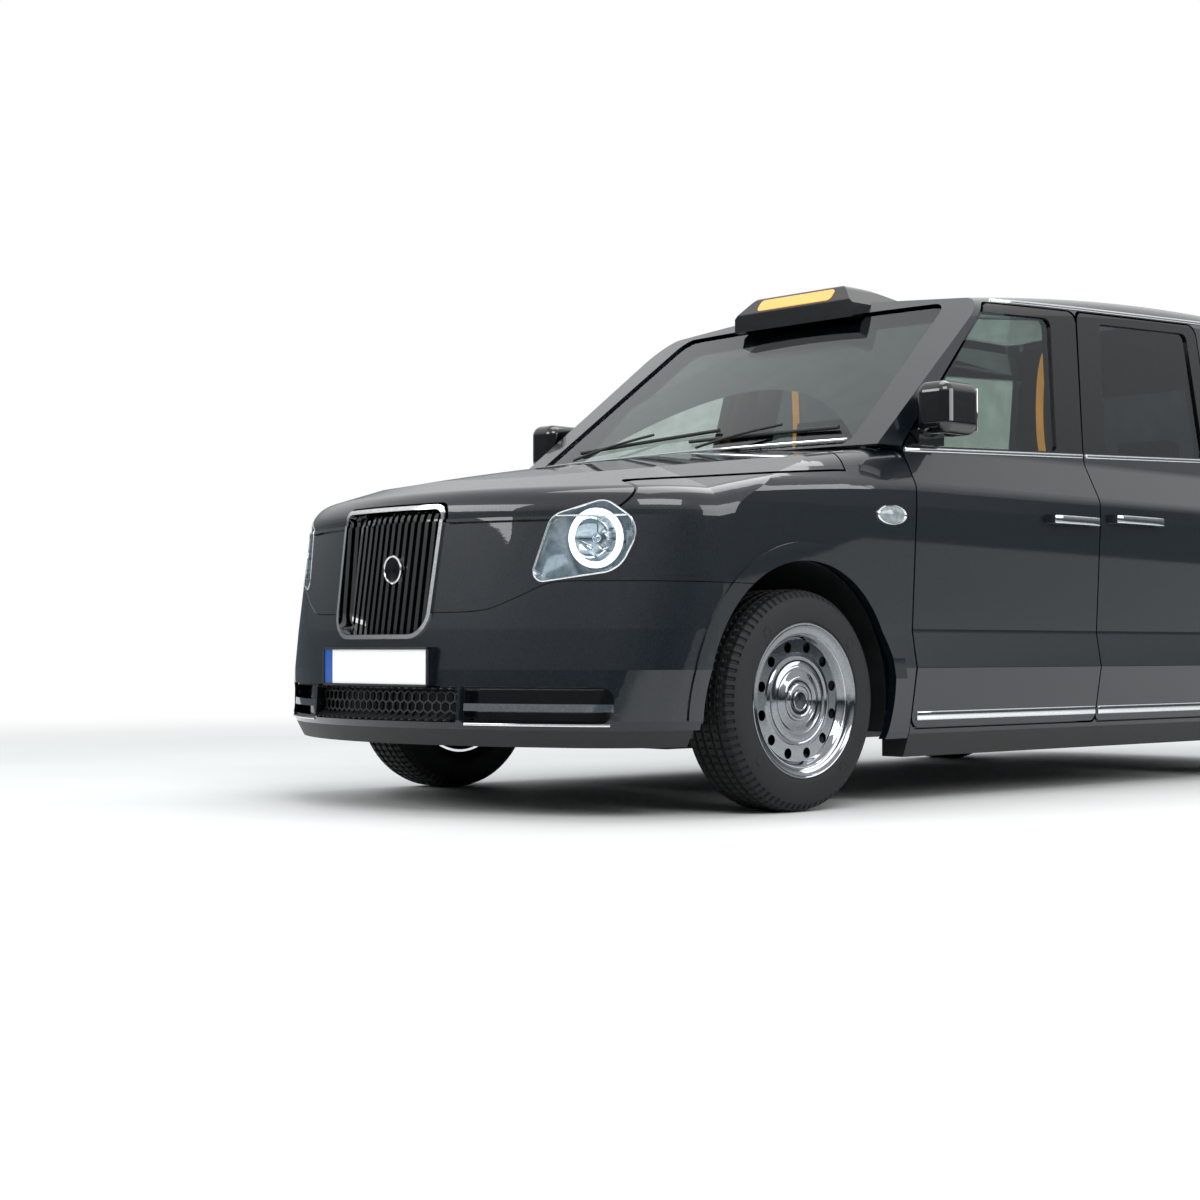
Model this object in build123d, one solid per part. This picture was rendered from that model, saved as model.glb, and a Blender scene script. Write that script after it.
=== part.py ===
"""Modern purpose-built electric taxi cab of the London kind, as an assembly of separate pieces.

The origin is on the ground under the middle of the car. The front faces -Y, the car's left side is +X and
up is +Z. All sizes are in millimetres.
"""

from build123d import *
import functools
import math
import os

os.makedirs("parts", exist_ok=True)

# Overall sizes of the car
LENGTH = 4857.0
WIDTH = 1874.0
HEIGHT = 1888.0
WHEELBASE = 2985.0
FRONT_OVERHANG = 965.5
GROUND_CLEARANCE = 150.0
FRONT_Y = -LENGTH / 2
REAR_Y = LENGTH / 2
HALF_WIDTH = WIDTH / 2
FRONT_AXLE_Y = FRONT_Y + FRONT_OVERHANG
REAR_AXLE_Y = FRONT_AXLE_Y + WHEELBASE

# Wheels and tyres
TYRE_RADIUS = 343.0
TYRE_WIDTH = 215.0
RIM_RADIUS = 214.0
WHEEL_PLANE_X = 818.0
HUB_RADIUS = 34.0
BEARING_PLAY = 0.05
ARCH_RADIUS = 430.0

# Thickness of walls, panels, glass and the lines between panels
SHUT_GAP = 7.0
SEAL_GAP = 0.8
PILLAR_EXTRA_GAP = 2.5
SEAL_FLANGE = 24.0
LEDGE = 20.0
GLASS_GAP = 0.6
SEAT_GAP = 0.3
STRAIGHT = 1e-6
PANEL = 22.0
DOOR_THICKNESS = 72.0
FRAME_THICKNESS = 34.0
ROOF_THICKNESS = 38.0
GLASS_INSET = 9.0
GLASS_THICKNESS = 5.0

# Lines of the side view
DOOR_FRONT_Y = -930.0
DOOR_SPLIT_Y = 128.0
DOOR_REAR_Y = 1042.0
DOOR_INNER_X = 700.0
BUMPER_SPLIT_Y = 1800.0
DOOR_BOTTOM_Z = 243.0
SILL_BOTTOM_Z = GROUND_CLEARANCE
BELT_FRONT_Z = 1158.0
BELT_SLOPE = 0.041
RAIL_FRONT_Z = 1716.0
RAIL_SLOPE = 0.044
PILLAR_LEAN = 0.155
TUMBLEHOME = 0.157

# The body side's section: height, half width, radius of the corner there
SIDE_SECTION = (
    (SILL_BOTTOM_Z, HALF_WIDTH - 60, 0),
    (DOOR_BOTTOM_Z - 8, HALF_WIDTH - 32, 30),
    (440, HALF_WIDTH, 14),
    (560, HALF_WIDTH - 20, 60),
    (960, HALF_WIDTH, 200),
    (1030, HALF_WIDTH - 1, 70),
    (1165, HALF_WIDTH - 66, 60),
)
SHOULDER_TOP_Z = SIDE_SECTION[-1][0]
SHOULDER_TOP_X = SIDE_SECTION[-1][1]
SECTION_TOP_Z = HEIGHT + 60

# The tail: the side's section goes round corners of this radius
TAIL_RADIUS = 260.0
TAIL_Y = REAR_Y - 52.0

# The roof: distance along the car, height on the centre line
ROOF_LINE = (
    (-1100, HEIGHT - 215),
    (-314, HEIGHT - 103),
    (451, HEIGHT - 30),
    (1312, HEIGHT),
    (2600, HEIGHT - 60),
)
ROOF_CROWN = 48.0
ROOF_CROWN_RADIUS = 4600.0
ROOF_EDGE_RADIUS = 105.0

# The windscreen: top edge on the centre line, slope as rearward run for each rise, bend radius
SCREEN_TOP_Y = -372.0
SCREEN_TOP_Z = 1762.0
SCREEN_SLOPE = 1.262
SCREEN_BEND_RADIUS = 8000.0

# The nose seen from above: height, front, half width ahead of the wheel, half width behind it
NOSE_PLAN = (
    (212, FRONT_Y + 46, HALF_WIDTH - 82, HALF_WIDTH - 40),
    (235, FRONT_Y + 32, HALF_WIDTH - 71, HALF_WIDTH - 32),
    (290, FRONT_Y, HALF_WIDTH - 45, HALF_WIDTH - 23.4),
    (440, FRONT_Y + 10, HALF_WIDTH - 16, HALF_WIDTH - 1),
    (560, FRONT_Y + 23, HALF_WIDTH - 11, HALF_WIDTH - 20),
    (960, FRONT_Y + 78, HALF_WIDTH, HALF_WIDTH),
    (1240, FRONT_Y + 118, HALF_WIDTH, HALF_WIDTH),
)
NOSE_FRONT_RADIUS = 1300.0
NOSE_CORNER_RADIUS = 360.0

# The rounding of the nose into its top: where it starts, then rows of distance inwards and height
ROLL_FRONT_Y = FRONT_Y + 68.8
ROLL_SIDE_X = HALF_WIDTH - 2.0
ROLL_ROWS = ((4.7, 893.0), (9.2, 968.0), (350.0, 1074.0))
ROLL_RADIUS = 85.0
ROLL_SPLAY = 8.0
ROLL_RISE = 0.2
ROLL_RUN = 900.0
ROLL_OUTSIDE = 80.0
ROLL_TOP_Z = 1300.0

# The top of the nose: distance along the car, shoulder height, edge of the crown (x, z), middle height
BONNET_LINE = (
    (FRONT_Y - 60, 890, 850, 925, 955),
    (-2200, 950, 852, 990, 1022),
    (-1750, 1000, 858, 1058, 1098),
    (-1300, 1022, 864, 1118, 1162),
    (DOOR_FRONT_Y + 60, 1030, SHOULDER_TOP_X, 1165, 1214),
)
BONNET_CROWN_RADIUS = 2600.0
BONNET_EDGE_RADIUS = 110.0
BONNET_REAR_Y = -1120.0
BONNET_CORNER_Y = -1283.0
BONNET_SEAM = (
    (FRONT_Y - 80, 880, 0),
    (-2140, 880, 60),
    (-2020, 1003, 60),
    (-1300, 1062, 0),
    (-1000, 1075, 0),
)
BUMPER_SEAM = (
    (FRONT_Y - 80, 606, 0),
    (-2330, 612, 60),
    (-2235, 700, 60),
    (FRONT_AXLE_Y, 696, 0),
)

# Front openings and lamps
NOSE_BOTTOM_Z = 212.0
SPLITTER_TOP_Z = 262.0
SEAM = 1.2
GRILLE_HALF_WIDTH = 247.0
GRILLE_LOW_Z = 532.0
GRILLE_HIGH_Z = 940.0
GRILLE_RING = 13.0
GRILLE_PROUD = 8.0
GRILLE_RECESS = 46.0
GRILLE_DEPTH = 80.0
GRILLE_BACK = 6.0
SLAT_COUNT = 15
SLAT_WIDTH = 15.0
INTAKE_LOW_Z = 283.0
INTAKE_HIGH_Z = 390.0
INTAKE_INNER_X = 362.0
INTAKE_OUTER_X = 792.0
INTAKE_PILLAR = 11.0
INTAKE_RECESS = 50.0
INTAKE_WALL = 6.0
INTAKE_BAR_Z = (318.0, 340.0)
PLATE_X = 260.0
PLATE_Y = FRONT_Y + 18.0
PLATE_Z = 447.0
PLATE_HEIGHT = 111.0
PLATE_THICKNESS = 4.0
LAMP_AZIMUTH = 45.0
LAMP_CENTRE = (701.0, -2182.0, 805.0)
LAMP_DEPTH = 110.0
LAMP_OUTLINE = (
    (-168, -112, 30),
    (100, -75, 90),
    (168, 60, 70),
    (60, 138, 60),
    (-100, 90, 60),
)

# Openings of the body seen from the side, front, back and above
PILLAR_TOP_Y = -330.0
WINDOW_SILL = 10.0
WINDOW_HEAD = 38.0
FRONT_WINDOW_LEAN = 1.05
WINDOWS = {
    "front": (-884.0, -36.0, FRONT_WINDOW_LEAN, PILLAR_LEAN),
    "rear": (277.0, 966.0, PILLAR_LEAN, 0.0),
    "quarter": (1122.0, 2050.0, 0.0, -0.1),
}
SCREEN_LOW_X = 760.0
SCREEN_HIGH_X = 640.0
SCREEN_LOW_Z = 1172.0
SCREEN_HIGH_Z = 1726.0
SCREEN_CORNER_Y = -1250.0
TAILGATE_LOW_X = 690.0
TAILGATE_HIGH_X = 610.0
TAILGATE_LOW_Z = 640.0
TAILGATE_HIGH_Z = 1775.0
TAIL_LAMP_LOW_Z = 700.0
TAIL_LAMP_HIGH_Z = 1100.0
TAIL_LAMP_DEPTH = 60.0
REAR_BUMPER_TOP_Z = 628.0
ROOF_PANEL_X = 660.0
ROOF_PANEL_FRONT_Y = -250.0
ROOF_PANEL_REAR_Y = 2080.0
ROOF_GLASS_X = 430.0
ROOF_GLASS_Y = (300.0, 1500.0)

# Cabin, mirrors, sign and plates
DRIVER_X = -370.0
DASH_X = 815.0
PARTITION_Y = 262.0
PARTITION_THICKNESS = 30.0
PARTITION_GLASS_Z = 1120.0
MIRROR_X = (884.0, 1018.0)
MIRROR_Y = (-880.0, -690.0)
MIRROR_Z = (1205.0, 1378.0)
MIRROR_ARM_Y = -805.0
MIRROR_ROUND = 38.0
ROOF_SIGN_X = (215.0, 290.0)
ROOF_SIGN_Y = (-474.0, -428.0, -330.0, -150.0)
ROOF_SIGN_Z = (1768.0, 1836.0)
SIGN_TAIL_Z = 1801.0
SIGN_LENS_X = 182.0
SIGN_LENS_Z = (1780.0, 1825.0)
REAR_PLATE_Z = 760.0
HANDLES = {"front": (-217.0, 104.0), "rear": (170.0, 525.0)}
HANDLE_Z = 954.0
HANDLE_HEIGHT = 30.0
HANDLE_PROUD = 34.0
HANDLE_THICKNESS = 14.0
SILL_INNER_X = 790.0
SILL_TOP_Z = 224.7
SILL_REAR_Y = 1092.0
FLARE_RADIUS = 487.0
FLARE_REAR_RADIUS = 468.0
FLARE_PROUD = 6.0
TOW_SOCKET = (-500.0, 330.0)
TOW_SOCKET_RADIUS = 8.0
TOW_SOCKET_DEPTH = 60.0
BATTERY_BOTTOM_Z = 190.0

# Running gear, floor and liners
KINGPIN_X = 750.0
ARM_LOW_Z = 200.0
ARM_HIGH_Z = 490.0
LINER = 6.0
LINER_INNER_X = 440.0
REAR_LINER_X = 640.0
LINER_BOTTOM_Z = 235.0
FLOOR_Z = 345.0
FLOOR_THICKNESS = 45.0
BULKHEAD_Y = -1008.0
COWL_Z = 1120.0
VENT_COUNT = 15
VENT_RING_RADIUS = 120.0
VENT_RADIUS = 12.0


def lift(plane, u, v):
    """Point of a plane from its own two coordinates."""
    return plane.from_local_coords(Vector(u, v, 0))


def outline(plane, corners):
    """Closed wire of lines, rounded at each corner: rows of u, v, radius."""
    starts, middles, ends = [], [], []
    count = len(corners)
    for i, (u, v, radius) in enumerate(corners):
        here = Vector(u, v)
        before = (Vector(*corners[i - 1][:2]) - here).normalized()
        after = (Vector(*corners[(i + 1) % count][:2]) - here).normalized()
        if radius == 0 or (before + after).length < STRAIGHT:
            starts.append(here)
            middles.append(None)
            ends.append(here)
            continue
        half = math.radians(before.get_angle(after)) / 2
        run = radius / math.tan(half)
        inward = (before + after).normalized()
        starts.append(here + before * run)
        middles.append(here + inward * (radius / math.sin(half) - radius))
        ends.append(here + after * run)
    edges = []
    for i in range(count):
        start, middle, end, following = starts[i], middles[i], ends[i], starts[(i + 1) % count]
        if middle is not None:
            points = [lift(plane, p.X, p.Y) for p in (start, middle, end)]
            edges.append(Edge.make_three_point_arc(*points))
        if (following - end).length > 0.01:
            edges.append(Edge.make_line(lift(plane, end.X, end.Y), lift(plane, following.X, following.Y)))
    return Wire(edges)


def plane_x(x):
    """Plane across X whose own axes run along Y and Z."""
    return Plane(origin=(x, 0, 0), x_dir=(0, 1, 0), z_dir=(1, 0, 0))


def plane_y(y):
    """Plane across Y whose own axes run along X and Z."""
    return Plane(origin=(0, y, 0), x_dir=(1, 0, 0), z_dir=(0, -1, 0))


def plane_z(z):
    """Plane across Z whose own axes run along X and Y."""
    return Plane(origin=(0, 0, z), x_dir=(1, 0, 0), z_dir=(0, 0, 1))


def prism_x(corners, x0, x1):
    """Outline in Y and Z, run along X."""
    return Solid.extrude(Face(outline(plane_x(x0), corners)), Vector(x1 - x0, 0, 0))


def prism_y(corners, y0, y1):
    """Outline in X and Z, run along Y."""
    return Solid.extrude(Face(outline(plane_y(y0), corners)), Vector(0, y1 - y0, 0))


def prism_z(corners, z0, z1):
    """Outline in X and Y, run along Z."""
    return Solid.extrude(Face(outline(plane_z(z0), corners)), Vector(0, 0, z1 - z0))


def box(x0, x1, y0, y1, z0, z1):
    """Block between two corners."""
    return Solid.make_box(x1 - x0, y1 - y0, z1 - z0, Plane((x0, y0, z0)))


def mirrored(shape):
    """The same shape on the other side of the car."""
    return shape.mirror(Plane.YZ)


def both(shape):
    """A shape on the left and its mirror on the right."""
    return [shape, mirrored(shape)]


def solids_of(shape):
    """All solids in a shape or a list of shapes."""
    if shape is None:
        return []
    if isinstance(shape, (list, tuple, ShapeList)):
        found = []
        for each in shape:
            found.extend(solids_of(each))
        return found
    return list(shape.solids())


def keep(shape, least=1000.0):
    """The solids of a cut, without slivers."""
    return [s for s in solids_of(shape) if s.volume > least]


def cut(shapes, tool):
    """Every solid of a list with a tool taken away."""
    return keep([s - tool for s in solids_of(shapes)])


def common(shapes, tool):
    """Every solid of a list where it lies inside a tool."""
    return keep([s & tool for s in solids_of(shapes)])


def fused(*shapes):
    """One shape from several that overlap or touch."""
    found = solids_of(list(shapes))
    return found[0].fuse(*found[1:])


def write(name, shapes):
    """One file for a named piece."""
    found = keep(shapes)
    export_step(found[0] if len(found) == 1 else Compound(children=found), f"parts/{name}.step")


def tube_x(radius, x0, x1, y, z):
    """Round bar along X."""
    return Solid.make_cylinder(radius, x1 - x0, Plane(origin=(x0, y, z), z_dir=(1, 0, 0)))


def bar(start, end, radius):
    """Round bar between two points."""
    first, last = Vector(*start), Vector(*end)
    return Solid.make_cylinder(radius, (last - first).length, Plane(origin=first, z_dir=last - first))


def belt_z(y):
    """Height of the belt line."""
    return BELT_FRONT_Z + (y - DOOR_FRONT_Y) * BELT_SLOPE


def rail_z(y):
    """Height of the roof rail's lower edge."""
    return RAIL_FRONT_Z + (y + 394) * RAIL_SLOPE


def screen_y(z):
    """Distance along the car of the windscreen on the centre line."""
    return SCREEN_TOP_Y - (SCREEN_TOP_Z - z) * SCREEN_SLOPE


def side_rows(inset):
    """The side's section moved inwards, up to the top of the glass plane: x, z, radius."""
    rows = [(x - inset, z, r) for z, x, r in SIDE_SECTION]
    top_x = SHOULDER_TOP_X - inset - (SECTION_TOP_Z - SHOULDER_TOP_Z) * TUMBLEHOME
    return rows + [(top_x, SECTION_TOP_Z, 0)]


def inner_rows():
    """The inside of the doors and pillars: x, z, radius."""
    low_x = HALF_WIDTH - DOOR_THICKNESS
    belt_x = SHOULDER_TOP_X - FRAME_THICKNESS
    turn_z = SHOULDER_TOP_Z - 40
    top_x = belt_x - (SECTION_TOP_Z - turn_z) * TUMBLEHOME
    low = (low_x, SILL_BOTTOM_Z - 20, 0)
    return [low, (low_x, 980, 60), (belt_x, turn_z, 60), (top_x, SECTION_TOP_Z, 0)]


def wrapped(rows, front_y, tail_y, radius):
    """A section run along the car and round the tail's corners."""
    widest = max(x for x, _, _ in rows)
    corner_y = tail_y - radius
    corner_x = widest - radius
    left = [(-x, z, r) for x, z, r in reversed(rows)]
    long = prism_y(rows + left, front_y, corner_y)
    low, high = rows[0][1], rows[-1][1]
    corner_rows = [(corner_x, low, 0)] + rows + [(corner_x, high, 0)]
    face = Face(outline(plane_y(corner_y), corner_rows))
    axis = Axis((corner_x, corner_y, 0), (0, 0, 1))
    corner = Solid.revolve(face, 90, axis)
    tail_rows = [(corner_y - 1, low, 0)]
    tail_rows += [(corner_y + x - corner_x, z, r) for x, z, r in rows]
    tail_rows += [(corner_y - 1, high, 0)]
    tail = prism_x(tail_rows, -corner_x, corner_x)
    return fused(long, corner, mirrored(corner), tail)


def crown_drop(rise, half_width, radius):
    """How far a crowned arc passes under the corner that its two straight sides would make."""
    drop = 0.0
    for _ in range(60):
        slope = math.atan2(rise + drop, half_width)
        drop = radius * (1 / math.cos(slope) - 1)
    return drop


def roof_envelope(inset):
    """All that lies under the crowned roof."""
    wires = []
    for y, middle_z in ROOF_LINE:
        edge_z = middle_z - ROOF_CROWN - inset
        edge_x = SHOULDER_TOP_X + 1 - inset - (edge_z - SHOULDER_TOP_Z) * TUMBLEHOME
        turn_z = SHOULDER_TOP_Z + 3
        turn_x = SHOULDER_TOP_X + 1 - inset - 3 * TUMBLEHOME
        apex_z = edge_z + ROOF_CROWN + crown_drop(ROOF_CROWN, edge_x, ROOF_CROWN_RADIUS)
        rows = [
            (-WIDTH, 0, 0),
            (WIDTH, 0, 0),
            (WIDTH, turn_z, 0),
            (turn_x, turn_z, 0),
            (edge_x, edge_z, ROOF_EDGE_RADIUS - inset),
            (0, apex_z, ROOF_CROWN_RADIUS),
            (-edge_x, edge_z, ROOF_EDGE_RADIUS - inset),
            (-turn_x, turn_z, 0),
            (-WIDTH, turn_z, 0),
        ]
        wires.append(outline(plane_y(y), rows))
    return Solid.make_loft(wires)


def screen_envelope(inset):
    """All that lies behind the windscreen's gently bent surface."""
    run = math.hypot(SCREEN_SLOPE, 1.0)
    up = Vector(0, SCREEN_SLOPE / run, 1.0 / run)
    back = Vector(0, 1.0 / run, -SCREEN_SLOPE / run)
    top = Vector(0, SCREEN_TOP_Y, SCREEN_TOP_Z)
    radius = SCREEN_BEND_RADIUS - inset
    centre = top + back * SCREEN_BEND_RADIUS
    reach = LENGTH
    start = centre - up * reach
    return Solid.make_cylinder(radius, 2 * reach, Plane(origin=start, z_dir=up))


def nose_arcs(front_y, ahead_x, front_radius, corner_radius):
    """Centres of the nose's front arc and corner arc, and the angle where they meet."""
    front_centre = front_y + front_radius
    across = ahead_x - corner_radius
    between = front_radius - corner_radius
    corner_centre = front_centre - math.sqrt(between**2 - across**2)
    turn = math.atan2(across, front_centre - corner_centre)
    return front_centre, across, corner_centre, turn


def nose_outline(z, front_y, ahead_x, behind_x, inset):
    """The nose at one height: a wide front arc, corner arcs and sides."""
    front_radius = NOSE_FRONT_RADIUS - inset
    corner_radius = NOSE_CORNER_RADIUS - inset
    front_y = front_y + inset
    ahead_x = ahead_x - inset
    behind_x = behind_x - inset
    front_centre, across, corner_centre, turn = nose_arcs(front_y, ahead_x, front_radius, corner_radius)
    meet = (front_radius * math.sin(turn), front_centre - front_radius * math.cos(turn))
    half_turn = turn + (math.pi / 2 - turn) / 2
    corner_mid = (
        across + corner_radius * math.sin(half_turn),
        corner_centre - corner_radius * math.cos(half_turn),
    )
    back_y = DOOR_FRONT_Y - SHUT_GAP / 2
    turn_y = FRONT_AXLE_Y + ARCH_RADIUS * 0.6
    right = [
        Edge.make_line((behind_x, back_y, z), (behind_x, turn_y, z)),
        Edge.make_line((behind_x, turn_y, z), (ahead_x, corner_centre, z)),
        Edge.make_three_point_arc((ahead_x, corner_centre, z), (*corner_mid, z), (*meet, z)),
    ]
    front = Edge.make_three_point_arc((*meet, z), (0, front_y, z), (-meet[0], meet[1], z))
    left = [
        Edge.make_three_point_arc(
            (-meet[0], meet[1], z), (-corner_mid[0], corner_mid[1], z), (-ahead_x, corner_centre, z)
        ),
        Edge.make_line((-ahead_x, corner_centre, z), (-behind_x, turn_y, z)),
        Edge.make_line((-behind_x, turn_y, z), (-behind_x, back_y, z)),
    ]
    back = Edge.make_line((-behind_x, back_y, z), (behind_x, back_y, z))
    return Wire(right + [front] + left + [back])


def bonnet_envelope(inset):
    """All that lies under the crowned top of the nose."""
    wires = []
    for y, shoulder_z, edge_x, edge_z, middle_z in BONNET_LINE:
        apex_z = middle_z - inset + crown_drop(middle_z - edge_z, edge_x, BONNET_CROWN_RADIUS)
        wide = HALF_WIDTH - 0.5 - inset
        rows = [
            (-wide, 0, 0),
            (wide, 0, 0),
            (wide, shoulder_z - inset * 0.6, 60),
            (edge_x - inset * 0.6, edge_z - inset, BONNET_EDGE_RADIUS - inset),
            (0, apex_z, BONNET_CROWN_RADIUS),
            (-edge_x + inset * 0.6, edge_z - inset, BONNET_EDGE_RADIUS - inset),
            (-wide, shoulder_z - inset * 0.6, 60),
        ]
        wires.append(outline(plane_y(y), rows))
    return Solid.make_loft(wires)


def nose_rounding(inset):
    """What the rounding takes off the nose's front, corners and sides where they meet its top."""
    radii = (NOSE_FRONT_RADIUS, NOSE_CORNER_RADIUS)
    front_centre, across, corner_centre, turn = nose_arcs(ROLL_FRONT_Y, ROLL_SIDE_X, *radii)
    (start_in, start_z), (bend_in, bend_z), (end_in, end_z) = ROLL_ROWS
    rows = [
        (-ROLL_OUTSIDE, start_z, 0),
        (start_in + inset, start_z, 0),
        (bend_in + inset, bend_z - inset, max(ROLL_RADIUS - inset, LINER)),
        (end_in, end_z - inset, 0),
        (end_in, ROLL_TOP_Z, 0),
        (-ROLL_OUTSIDE, ROLL_TOP_Z, 0),
    ]
    turn = math.degrees(turn)
    front_axis = Axis((0, front_centre, 0), (0, 0, 1))
    front = Face(outline(plane_x(0), [(ROLL_FRONT_Y + d, z, r) for d, z, r in rows]))
    front = Solid.revolve(front.rotate(front_axis, -turn), 2 * turn, front_axis)
    corner_axis = Axis((across, corner_centre, 0), (0, 0, 1))
    corner_y = corner_centre - NOSE_CORNER_RADIUS
    section = Face(outline(plane_x(across), [(corner_y + d, z, r) for d, z, r in rows]))
    corner = Solid.revolve(section.rotate(corner_axis, turn), 90 - ROLL_SPLAY - turn, corner_axis)
    splay = math.radians(ROLL_SPLAY)
    back = Vector(math.sin(splay), math.cos(splay), ROLL_RISE) * ROLL_RUN
    side = Solid.extrude(section.rotate(corner_axis, 90 - ROLL_SPLAY), back)
    return fused(front, corner, side, mirrored(corner), mirrored(side))


@functools.cache
def nose_block(inset):
    """The whole nose as one solid, from the bumper to the front doors."""
    wires = [nose_outline(z, y, a, b, inset) for z, y, a, b in NOSE_PLAN]
    return (Solid.make_loft(wires, ruled=True) & bonnet_envelope(inset)) - nose_rounding(inset)


def arch(axle_y, radius, x0, x1):
    """Cylinder about a wheel's centre on one side."""
    return tube_x(radius, x0, x1, axle_y, TYRE_RADIUS)


def main_envelope(inset):
    """The body from the windscreen back, as one solid."""
    shape = wrapped(side_rows(inset), SCREEN_CORNER_Y, TAIL_Y - inset, TAIL_RADIUS - inset)
    return shape & roof_envelope(inset) & screen_envelope(inset)


def main_inside(grow=0.0):
    """The space inside the body's walls, from the windscreen back."""
    rows = [(x + grow, z, r) for x, z, r in inner_rows()]
    deep = DOOR_THICKNESS - grow
    shape = wrapped(rows, SCREEN_CORNER_Y, TAIL_Y - deep, TAIL_RADIUS - deep)
    return shape & roof_envelope(ROOF_THICKNESS - grow) & screen_envelope(ROOF_THICKNESS - grow)


def flare(axle_y, radius, skin):
    """Raised band round a wheel arch on the left, cut from a slightly larger skin."""
    band = arch(axle_y, radius, HALF_WIDTH - PANEL - 20, HALF_WIDTH) - arch(axle_y, ARCH_RADIUS, 0, WIDTH)
    return keep(band & skin)


def behind_nose(shapes):
    """Only what lies behind the nose or above it."""
    low = box(-WIDTH, WIDTH, FRONT_Y, DOOR_FRONT_Y, 0, SHOULDER_TOP_Z)
    return cut(shapes, low)


def door_outline(name, gap):
    """Side outline of a door's opening, drawn in by a gap: rows of y, z, radius."""
    low = DOOR_BOTTOM_Z + gap
    split_low = DOOR_SPLIT_Y
    split_belt = belt_z(DOOR_SPLIT_Y)
    split_top = DOOR_SPLIT_Y + (rail_z(DOOR_SPLIT_Y) - split_belt) * PILLAR_LEAN
    wider = gap + math.copysign(PILLAR_EXTRA_GAP, gap) if abs(gap) < SHUT_GAP else gap
    if name == "front":
        top_y = PILLAR_TOP_Y + gap
        return [
            (DOOR_FRONT_Y + gap, low, 40),
            (split_low - gap, low, 25),
            (split_low - gap, split_belt, 300),
            (split_top - wider, rail_z(split_top) - gap, 40),
            (top_y, rail_z(top_y) - gap, 60),
            (DOOR_FRONT_Y + gap, belt_z(DOOR_FRONT_Y) - gap, 60),
        ]
    return [
        (split_low + gap, low, 25),
        (DOOR_REAR_Y - gap, low, 90),
        (DOOR_REAR_Y - gap, rail_z(DOOR_REAR_Y) - gap, 50),
        (split_top + wider, rail_z(split_top) - gap, 40),
        (split_low + gap, split_belt, 300),
    ]


def window_outline(name, gap):
    """Side outline of a side window, drawn in by a gap: rows of y, z, radius."""
    low = WINDOW_SILL + gap
    high = -WINDOW_HEAD - gap
    front_y, rear_y, front_lean, rear_lean = WINDOWS[name]
    rows = []
    front_y += gap * (front_lean + math.hypot(1, front_lean))
    rear_y += gap * (rear_lean - math.hypot(1, rear_lean))
    for y, lean, radius in ((front_y, front_lean, 30 - gap), (rear_y, rear_lean, 30 - gap)):
        rise = rail_z(y) + high - belt_z(y) - low
        top_y = y + rise * lean
        rows.append(((y, belt_z(y) + low, radius), (top_y, rail_z(top_y) + high, radius)))
    (front_low, front_top), (rear_low, rear_top) = rows
    return [front_low, rear_low, rear_top, front_top]


def screen_outline(gap):
    """Windscreen seen from the front: rows of x, z, radius."""
    low_x = SCREEN_LOW_X - gap
    high_x = SCREEN_HIGH_X - gap
    low_z = SCREEN_LOW_Z + gap
    high_z = SCREEN_HIGH_Z - gap
    return [(-low_x, low_z, 30), (low_x, low_z, 30), (high_x, high_z, 60), (-high_x, high_z, 60)]


def tailgate_outline(gap):
    """Tailgate seen from behind: rows of x, z, radius."""
    low_x = TAILGATE_LOW_X - gap
    high_x = TAILGATE_HIGH_X - gap
    low_z = TAILGATE_LOW_Z + gap
    high_z = TAILGATE_HIGH_Z - gap
    return [(-low_x, low_z, 60), (low_x, low_z, 60), (high_x, high_z, 70), (-high_x, high_z, 70)]


def tail_window_outline(gap):
    """Window of the tailgate: rows of x, z, radius."""
    low_x = TAILGATE_LOW_X - 78 - gap
    high_x = TAILGATE_HIGH_X - 62 - gap
    low_z = belt_z(TAIL_Y) + gap
    high_z = TAILGATE_HIGH_Z - 85 - gap
    return [(-low_x, low_z, 70), (low_x, low_z, 70), (high_x, high_z, 80), (-high_x, high_z, 80)]


def tail_lamp_outline(gap):
    """Left tail lamp seen from behind: rows of x, z, radius."""
    low_x = TAILGATE_LOW_X + 18 + gap
    return [
        (low_x, TAIL_LAMP_LOW_Z + gap, 20),
        (HALF_WIDTH + 20, TAIL_LAMP_LOW_Z + gap, 0),
        (HALF_WIDTH + 20, TAIL_LAMP_HIGH_Z - gap, 0),
        (low_x, TAIL_LAMP_HIGH_Z - gap, 40),
    ]


def roof_opening(gap):
    """Edge of the roof panel seen from above: rows of x, y, radius."""
    x = ROOF_PANEL_X - gap
    return [
        (-x, ROOF_PANEL_FRONT_Y + gap, 60),
        (x, ROOF_PANEL_FRONT_Y + gap, 60),
        (x, ROOF_PANEL_REAR_Y - gap, 80),
        (-x, ROOF_PANEL_REAR_Y - gap, 80),
    ]


def roof_glass_outline(gap):
    """Edge of the glass in the roof: rows of x, y, radius."""
    x = ROOF_GLASS_X - gap
    y0, y1 = ROOF_GLASS_Y
    return [(-x, y0 + gap, 70), (x, y0 + gap, 70), (x, y1 - gap, 70), (-x, y1 - gap, 70)]


def grille_outline(gap):
    """Grille seen from the front: rows of x, z, radius."""
    x = GRILLE_HALF_WIDTH - gap
    low, high = GRILLE_LOW_Z + gap, GRILLE_HIGH_Z - gap
    low_x = x - 14
    top = max(30 - gap / 2, 12)
    return [(-low_x, low, 85 - gap), (low_x, low, 85 - gap), (x, high, top), (-x, high, top)]


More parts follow.
